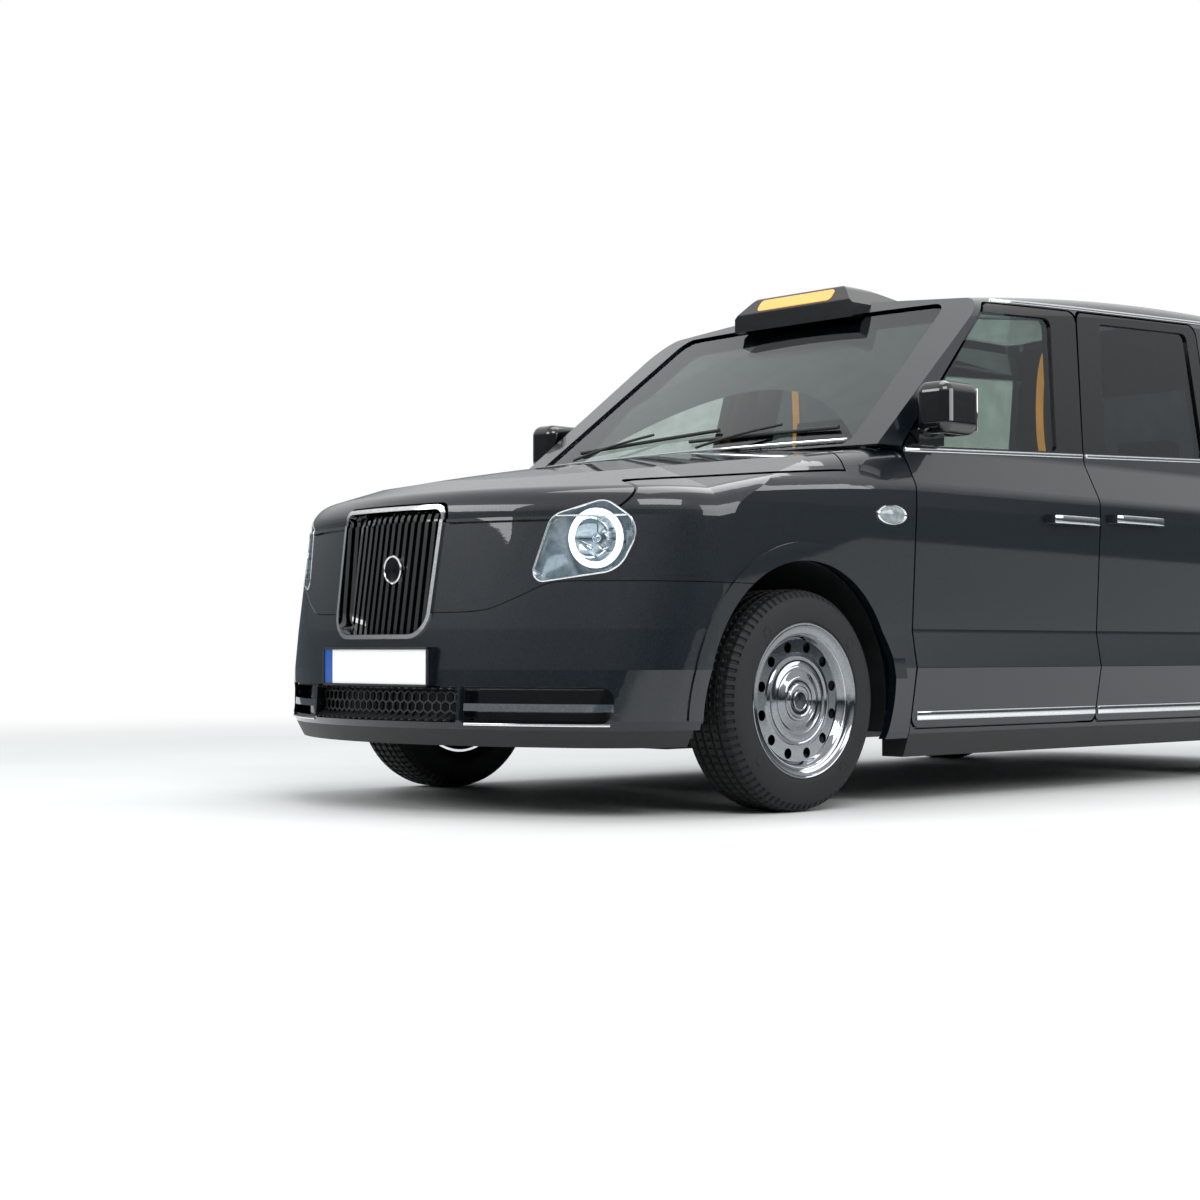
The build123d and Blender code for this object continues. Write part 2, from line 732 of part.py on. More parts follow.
def intake_outline(gap):
    """Lower opening on the left: rows of x, z, radius."""
    low, high = INTAKE_LOW_Z + gap, INTAKE_HIGH_Z - gap
    return [
        (INTAKE_INNER_X + gap, low, 8),
        (INTAKE_OUTER_X - gap, low, 34),
        (INTAKE_OUTER_X - gap, high, 34),
        (INTAKE_INNER_X + gap, high, 8),
    ]


def centre_intake_outline(gap):
    """Lower opening in the middle: rows of x, z, radius."""
    low, high = INTAKE_LOW_Z + gap, INTAKE_HIGH_Z - gap
    x = INTAKE_INNER_X - INTAKE_PILLAR - gap
    return [(-x, low, 8), (x, low, 8), (x, high, 8), (-x, high, 8)]


def lamp_prism(gap, depth=150.0):
    """Left headlamp's outline run inwards from the corner of the nose."""
    turn = math.radians(LAMP_AZIMUTH)
    across = Vector(math.cos(turn), math.sin(turn), 0)
    outwards = Vector(math.sin(turn), -math.cos(turn), 0)
    plane = Plane(origin=LAMP_CENTRE, x_dir=across, z_dir=outwards)
    corners = [(u * (1 - gap / 150), v * (1 - gap / 120), r) for u, v, r in LAMP_OUTLINE]
    face = Face(outline(plane, corners))
    return Solid.extrude(face, outwards * 500).fuse(Solid.extrude(face, outwards * -depth))


def above_bonnet_seam(gap):
    """The part of the nose that lifts with the bonnet, seen from the side."""
    rows = [(y, z + gap, r) for y, z, r in BONNET_SEAM]
    rows += [(rows[-1][0], HEIGHT, 0), (rows[0][0], HEIGHT, 0)]
    return prism_x(rows, -WIDTH, WIDTH)


def ahead_of_bonnet_edge(gap):
    """All that lies ahead of the bonnet's rear edge, seen from above."""
    side_x = HALF_WIDTH + 60
    rows = [
        (-side_x, FRONT_Y - 100, 0),
        (side_x, FRONT_Y - 100, 0),
        (side_x, BONNET_CORNER_Y - gap, 0),
        (0, 2 * BONNET_REAR_Y - BONNET_CORNER_Y - gap, 2400),
        (-side_x, BONNET_CORNER_Y - gap, 0),
    ]
    return prism_z(rows, 0, HEIGHT)


def below_bumper_seam(gap):
    """The part of the nose that is bumper, seen from the side."""
    rows = [(y, z - gap, r) for y, z, r in BUMPER_SEAM]
    rows += [(rows[-1][0], 0, 0), (rows[0][0], 0, 0)]
    return prism_x(rows, -WIDTH, WIDTH)


def nose_pieces():
    """Bonnet, wings with the panels beside the grille, and front bumper."""
    outer, inner = nose_block(0), nose_block(PANEL)
    skin = nose_block(-FLARE_PROUD) - inner
    band = flare(FRONT_AXLE_Y, FLARE_RADIUS, skin)
    wall = [fused(*cut(outer, inner), *band, *[mirrored(s) for s in band])]
    ahead = (FRONT_Y - 60, FRONT_Y + 420)
    cabin = box(-WIDTH, WIDTH, SCREEN_CORNER_Y - 100, DOOR_FRONT_Y + 100, SHOULDER_TOP_Z - SEAM, HEIGHT)
    wall = cut(wall, cabin & screen_envelope(-SEAM))
    for hole in both(arch(FRONT_AXLE_Y, ARCH_RADIUS, 500, 1000)):
        wall = cut(wall, hole)
    lamp_hole = lamp_prism(0)
    wall = cut(wall, lamp_hole)
    wall = cut(wall, mirrored(lamp_hole))
    half_gap = SHUT_GAP / 2
    lid = above_bonnet_seam(half_gap) & ahead_of_bonnet_edge(half_gap)
    lid_hole = above_bonnet_seam(-half_gap) & ahead_of_bonnet_edge(-half_gap)
    bonnet = cut(common(wall, lid), prism_y(grille_outline(-SHUT_GAP), *ahead))
    bonnet = cut(bonnet, screen_envelope(-SHUT_GAP))
    rest = cut(cut(wall, lid_hole), prism_y(grille_outline(-SEAT_GAP), *ahead))
    wide_lid = above_bonnet_seam(-LEDGE) & ahead_of_bonnet_edge(-LEDGE)
    ring = wide_lid - (above_bonnet_seam(LEDGE) & ahead_of_bonnet_edge(LEDGE))
    ledge = common((nose_block(PANEL - 2) - nose_block(PANEL + LEDGE)), ring)
    ledge = cut(ledge, lid_hole - nose_block(PANEL + SEAL_GAP))
    grille_hole = prism_y(grille_outline(-SEAT_GAP), *ahead)
    for tool in (grille_hole, cabin & screen_envelope(-SEAM), lamp_hole, mirrored(lamp_hole)):
        ledge = cut(ledge, tool)
    bumper = common(rest, below_bumper_seam(SEAM))
    wings = cut(rest, below_bumper_seam(-SEAM))
    wings = [fused(*wings, *ledge)]
    return bonnet, wings, bumper


def bumper_details(bumper):
    """Cuts the lower openings and adds the seat for the number plate."""
    for hole in (intake_outline(0), centre_intake_outline(0)):
        tool = prism_y(hole, FRONT_Y - 60, FRONT_Y + 620)
        bumper = cut(bumper, tool)
        bumper = cut(bumper, mirrored(tool))
    recess = box(-PLATE_X - 9, PLATE_X + 9, FRONT_Y - 50, PLATE_Y, PLATE_Z - 57, PLATE_Z + 60)
    bumper = cut(bumper, recess)
    seat = box(-PLATE_X - 9, PLATE_X + 9, PLATE_Y, PLATE_Y + 60, PLATE_Z - 54, PLATE_Z + 60)
    bumper = fused(*bumper, seat)
    lip = box(-WIDTH, WIDTH, FRONT_Y - 10, FRONT_AXLE_Y, 0, SPLITTER_TOP_Z)
    return cut(bumper, lip)


def splitter():
    """Black lower edge of the nose, closed underneath."""
    outer, inner = nose_block(0), nose_block(PANEL)
    low = box(-WIDTH, WIDTH, FRONT_Y - 10, FRONT_AXLE_Y - ARCH_RADIUS - 20, 0, SPLITTER_TOP_Z - SEAT_GAP)
    tray = box(-430, 430, FRONT_Y + 60, FRONT_AXLE_Y - 130, NOSE_BOTTOM_Z + 2, NOSE_BOTTOM_Z + 10)
    ring = common(cut(outer, inner), low)
    return fused(*ring, tray & nose_block(PANEL - 2))


def slat_comb(front, back):
    """Comb seen from above whose teeth are the upright slats of the grille."""
    pitch = 2 * (GRILLE_HALF_WIDTH - GRILLE_RING) / SLAT_COUNT
    rows = [(GRILLE_HALF_WIDTH, back + PANEL, 0), (-GRILLE_HALF_WIDTH, back + PANEL, 0)]
    for i in range(SLAT_COUNT):
        x = (i - (SLAT_COUNT - 1) / 2) * pitch
        for step_x, step_y in ((-1, back), (-1, front), (1, front), (1, back)):
            rows.append((x + step_x * SLAT_WIDTH / 2, step_y, 0))
    return prism_z(rows, GRILLE_LOW_Z, GRILLE_HIGH_Z)


def grille_pieces():
    """Chrome surround with its bars, and the black slats and panels behind."""
    proud, deep = nose_block(-GRILLE_PROUD), nose_block(GRILLE_DEPTH)
    slab = proud - deep
    front, back = FRONT_Y - 60, FRONT_Y + 420
    ring = prism_y(grille_outline(0), front, back) - prism_y(grille_outline(GRILLE_RING), front, back)
    surround = common(slab, ring)
    shallow = nose_block(GRILLE_RECESS)
    inside = prism_y(grille_outline(GRILLE_RING + SEAT_GAP), front, back)
    depth = common(shallow - deep, inside)
    plate = common(nose_block(GRILLE_DEPTH - GRILLE_BACK) - deep, inside)
    inserts = [fused(*plate, *common(depth, slat_comb(front, back)))]
    sill, back_y = nose_block(INTAKE_RECESS), FRONT_Y + 620
    rear = nose_block(INTAKE_RECESS + 8)
    mesh = sill - rear
    bars = nose_block(PANEL - 14) - nose_block(INTAKE_RECESS - SEAT_GAP)
    chrome = []
    cup = nose_block(PANEL / 2) - rear
    for form, mirror in ((centre_intake_outline, False), (intake_outline, True)):
        whole = prism_y(form(SEAT_GAP), FRONT_Y - 60, back_y)
        rim_ring = whole - prism_y(form(INTAKE_WALL), FRONT_Y - 60, back_y)
        panel = [fused(*common(mesh, whole), *common(cup, rim_ring))]
        inserts += panel
        if mirror:
            inserts += [mirrored(s) for s in panel]
            inner_x = INTAKE_INNER_X + INTAKE_WALL + SEAT_GAP
            outer_x = INTAKE_OUTER_X - INTAKE_WALL - SEAT_GAP
            strip_box = box(inner_x, outer_x, FRONT_Y - 60, back_y, *INTAKE_BAR_Z)
            strip = common(bars, strip_box)
            chrome += strip + [mirrored(s) for s in strip]
    return surround + chrome, inserts


def headlamps():
    """Left and right headlamps as solid units filling their holes."""
    unit = common(nose_block(SEAM), lamp_prism(SEAT_GAP, LAMP_DEPTH))
    return unit + [mirrored(s) for s in unit]


def shell_and_glass():
    """Body shell, doors, tailgate, roof panel and their glass from one wall."""
    outer, inner = main_envelope(0), main_inside()
    band = flare(REAR_AXLE_Y, FLARE_REAR_RADIUS, main_envelope(-FLARE_PROUD) - inner)
    band = keep([s & box(0, WIDTH, DOOR_REAR_Y + SHUT_GAP, BUMPER_SPLIT_Y, 0, HEIGHT) for s in band])
    wall = behind_nose(fused(outer - inner, *band, *[mirrored(s) for s in band]))
    pane = behind_nose(main_envelope(GLASS_INSET) - main_envelope(GLASS_INSET + GLASS_THICKNESS))
    half = box(0, WIDTH, FRONT_Y, REAR_Y + 100, 0, HEIGHT + 100)
    door_wall = common(behind_nose(outer - main_inside(SEAL_GAP)), half)
    slab = inner - main_inside(-SEAL_FLANGE)
    left_pane = common(pane, half)
    pieces = {}
    shell = wall
    flanges = []
    gap = SHUT_GAP / 2
    for name in ("front", "rear"):
        hole = prism_x(door_outline(name, -gap), DOOR_INNER_X, WIDTH)
        window = prism_x(window_outline(name, 0), 0, WIDTH)
        door = common(door_wall, prism_x(door_outline(name, gap), DOOR_INNER_X, WIDTH))
        door = common(door, box(0, WIDTH, FRONT_Y, REAR_Y, DOOR_BOTTOM_Z, SECTION_TOP_Z))
        pieces[f"door_{name}"] = [fused(*cut(door, window), handle(name))]
        pieces[f"door_{name}_glass"] = common(left_pane, prism_x(window_outline(name, GLASS_GAP), 0, WIDTH))
        for side_hole in both(hole):
            shell = cut(shell, side_hole)
        wide, narrow = (prism_x(door_outline(name, g), 0, WIDTH) for g in (-SEAL_FLANGE, SEAL_FLANGE))
        ring = wide - narrow
        flanges += behind_nose(common(slab, ring))
    floor_zone = (FLOOR_Z - FLOOR_THICKNESS - SEAT_GAP, FLOOR_Z + SEAT_GAP)
    flanges = cut(flanges, box(-WIDTH, WIDTH, FRONT_Y, REAR_Y, *floor_zone))
    quarter = prism_x(window_outline("quarter", 0), -WIDTH, WIDTH)
    shell = cut(shell, quarter)
    glass = common(pane, prism_x(window_outline("quarter", GLASS_GAP), -WIDTH, WIDTH))
    ahead = (FRONT_Y, 0)
    shell = cut(shell, prism_y(screen_outline(0), *ahead))
    glass += common(pane, prism_y(screen_outline(GLASS_GAP), *ahead))
    roof = common(wall, prism_z(roof_opening(SEAM / 2), SHOULDER_TOP_Z + 200, HEIGHT + 100))
    shell = cut(shell, prism_z(roof_opening(-SEAM / 2), SHOULDER_TOP_Z + 200, HEIGHT + 100))
    roof = cut(roof, prism_z(roof_glass_outline(0), SHOULDER_TOP_Z, HEIGHT + 100))
    glass += common(pane, prism_z(roof_glass_outline(GLASS_GAP), SHOULDER_TOP_Z + 200, HEIGHT + 100))
    behind = (TAIL_Y - TAIL_RADIUS - 20, REAR_Y + 60)
    gate = common(behind_nose(outer - main_inside(SEAL_GAP)), prism_y(tailgate_outline(gap), *behind))
    shell = cut(shell, prism_y(tailgate_outline(-gap), *behind))
    pieces["tailgate"] = cut(gate, prism_y(tail_window_outline(0), *behind))
    pieces["tailgate_glass"] = common(pane, prism_y(tail_window_outline(GLASS_GAP), *behind))
    lamps = []
    lamp_hole = prism_y(tail_lamp_outline(0), *behind)
    lamp = cut(main_envelope(0), main_envelope(TAIL_LAMP_DEPTH))
    lamp = common(lamp, prism_y(tail_lamp_outline(GLASS_GAP), *behind))
    for tool, unit in ((lamp_hole, lamp), (mirrored(lamp_hole), [mirrored(s) for s in lamp])):
        shell = cut(shell, tool)
        lamps += unit
    for tool in both(arch(REAR_AXLE_Y, ARCH_RADIUS, 600, 1000)):
        shell = cut(shell, tool)
    low = box(-WIDTH, WIDTH, BUMPER_SPLIT_Y, REAR_Y + 60, 0, REAR_BUMPER_TOP_Z)
    shell = cut(shell, low)
    wide, narrow = (prism_y(tailgate_outline(g), *behind) for g in (-SEAL_FLANGE, SEAL_FLANGE))
    tail_ring = wide - narrow
    shell = [fused(*shell, *flanges, *[mirrored(s) for s in flanges], *common(slab, tail_ring))]
    shell = cut(shell, box(-WIDTH, WIDTH, FRONT_Y, REAR_Y, 0, SILL_TOP_Z + SEAT_GAP))
    pieces.update(body_shell=shell, roof_panel=roof, fixed_glass=glass, tail_lamps=lamps)
    return pieces


def sills():
    """Black closed sills under the doors."""
    left = box(SILL_INNER_X, WIDTH, DOOR_FRONT_Y, SILL_REAR_Y, SILL_BOTTOM_Z, SILL_TOP_Z)
    return both(left & main_envelope(0))


def handle(name):
    """Pull handle of a left door, a bow with room for the fingers."""
    front_y, rear_y = HANDLES[name]
    deep, proud, thick = HALF_WIDTH - 6, HALF_WIDTH + HANDLE_PROUD, HANDLE_THICKNESS
    rows = [
        (deep, front_y, 0),
        (proud - 6, front_y + 14, 20),
        (proud, front_y + 70, 60),
        (proud, rear_y - 70, 60),
        (proud - 6, rear_y - 14, 20),
        (deep, rear_y, 0),
        (deep, rear_y - 44, 0),
        (proud - thick, rear_y - 74, 20),
        (proud - thick, front_y + 74, 20),
        (deep, front_y + 44, 0),
    ]
    middle_z = HANDLE_Z + (front_y - HANDLES["front"][0]) * BELT_SLOPE
    return prism_z(rows, middle_z - HANDLE_HEIGHT / 2, middle_z + HANDLE_HEIGHT / 2)


def rear_bumper():
    """Rear bumper, a hollow shell round the tail."""
    top = REAR_BUMPER_TOP_Z - SEAM
    rows = [
        (HALF_WIDTH - 70, NOSE_BOTTOM_Z, 0),
        (HALF_WIDTH - 14, NOSE_BOTTOM_Z + 70, 40),
        (HALF_WIDTH, top - 90, 100),
        (HALF_WIDTH - 10, top, 0),
    ]
    inner = [(x - 3 * PANEL, z, r) for x, z, r in rows]
    front_y = REAR_AXLE_Y
    outer = wrapped(rows, front_y, REAR_Y, TAIL_RADIUS + 60)
    shape = outer - wrapped(inner, front_y - 10, REAR_Y - 3 * PANEL, TAIL_RADIUS)
    wide = ARCH_RADIUS + LINER + 4
    liner_x = HALF_WIDTH - DOOR_THICKNESS
    arches = (arch(REAR_AXLE_Y, ARCH_RADIUS, 600, 1000), arch(REAR_AXLE_Y, wide, 600, liner_x))
    for tool in both(arches[0]) + both(arches[1]):
        shape = shape - tool
    x, z = TOW_SOCKET
    face_y = REAR_Y - 11
    boss = box(x - 30, x + 30, face_y - TOW_SOCKET_DEPTH - 14, face_y, z - 30, z + 30)
    hole_plane = Plane(origin=(x, face_y - TOW_SOCKET_DEPTH, z), z_dir=(0, 1, 0))
    hole = Solid.make_cylinder(TOW_SOCKET_RADIUS, 200, hole_plane)
    shape = shape & box(-WIDTH, WIDTH, BUMPER_SPLIT_Y + SEAM, REAR_Y + 10, 0, HEIGHT)
    return cut([fused(*solids_of(shape), boss)], hole)


def tyre(axle_y):
    """Plain tyre on the left: its section turned about the axle."""
    half = TYRE_WIDTH / 2
    bead = RIM_RADIUS + SEAT_GAP
    profile = [
        (bead, half - 44),
        (RIM_RADIUS + 45, half),
        (TYRE_RADIUS - 42, half - 2),
        (TYRE_RADIUS - 6, half - 24),
        (TYRE_RADIUS, half - 42),
    ]
    points = [(WHEEL_PLANE_X + x, TYRE_RADIUS + r) for r, x in profile]
    points += [(WHEEL_PLANE_X - x, TYRE_RADIUS + r) for r, x in reversed(profile)]
    face = Face(outline(plane_y(axle_y), [(x, z, 0) for x, z in points]))
    return Solid.revolve(face, 360, Axis((0, axle_y, TYRE_RADIUS), (1, 0, 0)))


def rim(axle_y):
    """Steel rim on the left with a chrome face, vent holes, dome and hub."""
    half = TYRE_WIDTH / 2
    out = WHEEL_PLANE_X + half - 16
    rows = [
        (WHEEL_PLANE_X - half + 20, RIM_RADIUS),
        (WHEEL_PLANE_X - half + 20, RIM_RADIUS - 8),
        (out - 80, RIM_RADIUS - 20),
        (out - 62, 150),
        (out - 60, 95),
        (out - 64, HUB_RADIUS + 24),
        (out - 106, HUB_RADIUS + 24),
        (out - 106, HUB_RADIUS),
        (out - 40, HUB_RADIUS),
        (out - 40, 0),
        (out - 14, 0),
        (out - 16, 48),
        (out - 40, 90),
        (out - 46, 150),
        (out - 30, 176),
        (out - 26, 186),
        (out, 205),
        (out, RIM_RADIUS + 20),
        (out - 5, RIM_RADIUS + 20),
        (out - 5, RIM_RADIUS),
    ]
    points = [(x, TYRE_RADIUS + r, 0) for x, r in rows]
    face = Face(outline(plane_y(axle_y), points))
    body = Solid.revolve(face, 360, Axis((0, axle_y, TYRE_RADIUS), (1, 0, 0)))
    for i in range(VENT_COUNT):
        angle = 2 * math.pi * i / VENT_COUNT
        y = axle_y + VENT_RING_RADIUS * math.cos(angle)
        z = TYRE_RADIUS + VENT_RING_RADIUS * math.sin(angle)
        body = body - tube_x(VENT_RADIUS, out - 120, out + 10, y, z)
    return body


def knuckle():
    """Left front upright with its stub axle and steering arm."""
    z = TYRE_RADIUS
    y = FRONT_AXLE_Y
    low, high = ARM_LOW_Z + 14 + SEAT_GAP, ARM_HIGH_Z - 14 - SEAT_GAP
    post = box(KINGPIN_X - 26, KINGPIN_X + 14, y - 34, y + 34, low, high)
    stub = tube_x(HUB_RADIUS - BEARING_PLAY, KINGPIN_X, WHEEL_PLANE_X + TYRE_WIDTH / 2 - 58, y, z)
    lever = box(KINGPIN_X - 60, KINGPIN_X, y + 20, y + 110, z - 40, z - 20)
    return fused(post, stub, lever)


def suspension():
    """Front and rear subframes with arms, springs, steering rack and rear stub axles."""
    y = FRONT_AXLE_Y
    inner_x = LINER_INNER_X - 12
    parts = [box(-inner_x, inner_x, y - 110, y + 110, ARM_LOW_Z - 20, ARM_LOW_Z + 24)]
    parts.append(tube_x(24, -inner_x, inner_x, y + 150, ARM_LOW_Z + 60))
    parts.append(box(-300, 300, y + 90, y + 175, ARM_LOW_Z, ARM_LOW_Z + 60))
    for side in (1, -1):
        for arm_z in (ARM_LOW_Z, ARM_HIGH_Z):
            ball = Solid.make_cylinder(26, 28, Plane((side * (KINGPIN_X - 6), y, arm_z - 14)))
            parts.append(ball)
            for dy in (-62, 62):
                inner_end = (side * inner_x * 0.95, y + dy, arm_z)
                parts.append(bar(inner_end, (side * (KINGPIN_X - 12), y + dy * 0.1, arm_z), 12))
        parts.append(bar((side * 590, y, ARM_LOW_Z), (side * 575, y, wheelhouse_top_z() - 2), 34))
        parts.append(box(side * 590 - 45, side * 590 + 45, y - 45, y + 45, ARM_LOW_Z - 10, ARM_LOW_Z + 10))
        post_x = sorted((side * (inner_x - 60), side * inner_x))
        parts.append(box(post_x[0], post_x[1], y - 90, y + 90, ARM_LOW_Z, ARM_HIGH_Z + 30))
        rail = sorted((side * 300, side * 370))
        long = box(rail[0], rail[1], FRONT_Y, BULKHEAD_Y + 300, ARM_LOW_Z + 24, floor_under_z())
        ahead = box(-WIDTH, WIDTH, FRONT_Y - 50, DOOR_FRONT_Y - 10, 0, HEIGHT)
        ahead = ahead & nose_block(INTAKE_RECESS + 12)
        parts += solids_of(long & ahead) + [long & box(-WIDTH, WIDTH, DOOR_FRONT_Y - 11, 0, 0, HEIGHT)]
    front = fused(*parts)
    y = REAR_AXLE_Y
    beam_z = ARM_LOW_Z + 12
    rear = [box(-560, 560, y - 90, y + 90, beam_z, beam_z + 66)]
    for side in (1, -1):
        outer_x = side * (WHEEL_PLANE_X - TYRE_WIDTH / 2 + 34)
        xs = sorted((side * 500, outer_x))
        rear.append(box(xs[0], xs[1], y - 60, y + 60, beam_z, beam_z + 40))
        hub = sorted((outer_x - side * 40, outer_x))
        rear.append(box(hub[0], hub[1], y - 55, y + 55, beam_z, TYRE_RADIUS + 70))
        stub = sorted((outer_x - side * 10, side * (WHEEL_PLANE_X + TYRE_WIDTH / 2 - 58)))
        rear.append(tube_x(HUB_RADIUS - BEARING_PLAY, stub[0], stub[1], y, TYRE_RADIUS))
        rear.append(bar((side * 480, y - 20, beam_z + 60), (side * 480, y - 20, floor_under_z()), 40))
    return [front, fused(*rear)]


def floor_under_z():
    """Height at which a piece meets the floor from below."""
    return FLOOR_Z - FLOOR_THICKNESS - SEAT_GAP


def wheelhouse_top_z():
    """Height of the inside of the front wheelhouse's roof."""
    return TYRE_RADIUS + ARCH_RADIUS + 2


def wheelhouse_liners():
    """Black liners over the four wheels."""
    liners = []
    for axle_y, inner_x, outer_x in (
        (FRONT_AXLE_Y, LINER_INNER_X, HALF_WIDTH - PANEL - 30),
        (REAR_AXLE_Y, REAR_LINER_X, HALF_WIDTH - DOOR_THICKNESS - SEAT_GAP),
    ):
        shell = arch(axle_y, ARCH_RADIUS + 2 + LINER, inner_x, outer_x)
        shell = shell - arch(axle_y, ARCH_RADIUS + 2, inner_x + LINER, outer_x + 1)
        low = box(0, WIDTH, axle_y - 600, axle_y + 600, -TYRE_RADIUS, LINER_BOTTOM_Z)
        shell = shell - low
        if axle_y == FRONT_AXLE_Y:
            slot = box(inner_x - 5, inner_x + LINER + 5, axle_y - 130, axle_y + 180, 0, ARM_HIGH_Z + 40)
            shell = (shell - slot) & nose_block(PANEL + SEAT_GAP)
        else:
            slot = box(inner_x - 5, inner_x + LINER + 5, axle_y - 110, axle_y + 110, 0, ARM_LOW_Z + 120)
            shell = shell - slot
        liners += both(shell)
    return liners


def floor_pan():
    """Floor from the bulkhead to the tail, with the bulkhead."""
    x = HALF_WIDTH - DOOR_THICKNESS - SEAT_GAP
    rear = TAIL_Y - DOOR_THICKNESS - 60
    corner = TAIL_RADIUS
    rows = [(-x, BULKHEAD_Y, 0), (x, BULKHEAD_Y, 0), (x, rear, corner), (-x, rear, corner)]
    floor = prism_z(rows, FLOOR_Z - FLOOR_THICKNESS, FLOOR_Z)
    wall = box(-x, x, BULKHEAD_Y, BULKHEAD_Y + 20, FLOOR_Z - FLOOR_THICKNESS, COWL_Z)
    shape = fused(floor, wall & nose_block(PANEL + SEAT_GAP))
    wheelhouse = arch(REAR_AXLE_Y, ARCH_RADIUS + 2 + LINER + SEAT_GAP, REAR_LINER_X - SEAT_GAP, 1000)
    beside_bumper = box(HALF_WIDTH - 4 * PANEL, WIDTH, BUMPER_SPLIT_Y - SHUT_GAP, REAR_Y, 0, HEIGHT)
    for tool in both(wheelhouse) + both(beside_bumper):
        shape = shape - tool
    return keep(shape)


def slab_seat(rows, x, width):
    """Soft block with a side profile, centred on x."""
    return prism_x(rows, x - width / 2, x + width / 2)


def driver_seat():
    """Driver's seat on its plinth, on the car's right."""
    low = FLOOR_Z + SEAT_GAP
    plinth = box(DRIVER_X - 190, DRIVER_X + 190, -420, -20, low, 560)
    cushion = slab_seat([(-470, 560, 50), (40, 560, 30), (40, 690, 40), (-470, 715, 60)], DRIVER_X, 520)
    back = slab_seat([(-40, 640, 40), (90, 640, 40), (215, 1235, 40), (115, 1235, 40)], DRIVER_X, 500)
    post = slab_seat([(135, 1200, 0), (165, 1200, 0), (185, 1310, 0), (155, 1310, 0)], DRIVER_X, 120)
    head = slab_seat([(110, 1265, 35), (205, 1265, 35), (225, 1425, 35), (140, 1425, 35)], DRIVER_X, 280)
    return fused(plinth, cushion, back, post, head)


def rear_seat():
    """Rear bench with three head restraints."""
    low = FLOOR_Z + SEAT_GAP
    width = 2 * (REAR_LINER_X - 20)
    base = box(-width / 2 + 30, width / 2 - 30, 1330, 1760, low, 620)
    cushion = slab_seat([(1250, 620, 60), (1800, 620, 30), (1800, 760, 30), (1250, 790, 60)], 0, width)
    back = slab_seat([(1740, 690, 40), (1860, 690, 40), (1985, 1290, 50), (1875, 1290, 50)], 0, width)
    heads = []
    for x in (-400, 0, 400):
        rows = [(1885, 1270, 30), (1975, 1270, 30), (2000, 1440, 35), (1915, 1440, 35)]
        heads.append(slab_seat(rows, x, 270))
    return fused(base, cushion, back, *heads)


def tip_up_seats():
    """Three seats folded up against the partition, facing the rear bench."""
    y = PARTITION_Y + PARTITION_THICKNESS + SEAT_GAP
    seats = []
    for x in (-540, 0, 540):
        seats.append(slab_seat([(y, 560, 0), (y + 95, 560, 40), (y + 80, 1080, 40), (y, 1080, 0)], x, 400))
    return seats


def partition():
    """Solid lower half of the partition behind the driver."""
    y = PARTITION_Y
    low = box(-WIDTH, WIDTH, y, y + PARTITION_THICKNESS, FLOOR_Z + SEAT_GAP, PARTITION_GLASS_Z)
    return common(low, main_inside(-SEAL_FLANGE - SEAT_GAP))


def partition_glass():
    """Clear upper half of the partition."""
    y = PARTITION_Y
    high = box(-WIDTH, WIDTH, y + 4, y + 10, PARTITION_GLASS_Z + SEAT_GAP, HEIGHT)
    return common(high, main_inside(-SEAL_FLANGE - SEAT_GAP))


def dashboard(gap=0.0):
    """Dashboard across the car, against the bulkhead."""
    y = BULKHEAD_Y + 20 + SEAT_GAP + gap
    rows = [
        (y, 800, 0),
        (y + 230, 800, 30),
        (y + 330, 930, 60),
        (y + 340, 1045, 50),
        (y + 250, 1100, 60),
        (y, COWL_Z - 2, 0),
    ]
    return prism_x(rows, -DASH_X, DASH_X)


def steering_wheel():
    """Steering wheel and column on the car's right."""
    axis = Vector(0, 0.92, 0.39)
    centre = Vector(DRIVER_X, -565, 1010)
    side = Vector(1, 0, 0)
    face = Plane(origin=centre, x_dir=side, z_dir=axis)
    ring = Solid.make_torus(182, 15, face)
    hub = Solid.make_cylinder(60, 46, Plane(origin=centre - axis * 40, x_dir=side, z_dir=axis))
    parts = [ring, hub]
    for angle in (0, 180, 270):
        spoke = Solid.make_box(190, 36, 14, Plane(origin=(0, -18, -12)))
        parts.append(face.location * (Rot(0, 0, angle) * spoke))
    parts.append(Solid.make_cylinder(34, 95, Plane(origin=centre - axis * 120, x_dir=side, z_dir=axis)))
    return cut([fused(*parts)], dashboard(SEAT_GAP))


def power_units():
    """Plain blocks for the engine in front and the battery under the floor."""
    post_x = LINER_INNER_X - 12 - 60 - SEAT_GAP
    engine = box(-post_x, post_x, FRONT_AXLE_Y - 380, FRONT_AXLE_Y + 330, 330, 880)
    battery = box(-420, 420, BULKHEAD_Y + 320, 1150, BATTERY_BOTTOM_Z, floor_under_z())
    return [engine, battery]


def mirror_pieces():
    """Left door mirror with its arm, seated on the door."""
    head = box(*MIRROR_X, *MIRROR_Y, *MIRROR_Z)
    head = head.fillet(MIRROR_ROUND, head.edges())
    low = MIRROR_Z[0]
    arm = bar((SHOULDER_TOP_X - 30, MIRROR_ARM_Y, low - 5), (MIRROR_X[0] + 40, MIRROR_ARM_Y, low + 20), 22)
    foot = box(800, 900, MIRROR_Y[0] + 10, MIRROR_ARM_Y + 70, SHOULDER_TOP_Z + 11, low + 17)
    whole = fused(head, arm, foot)
    skin = wrapped(side_rows(-SEAT_GAP), DOOR_FRONT_Y - 50, TAIL_Y, TAIL_RADIUS)
    return cut([whole], skin)


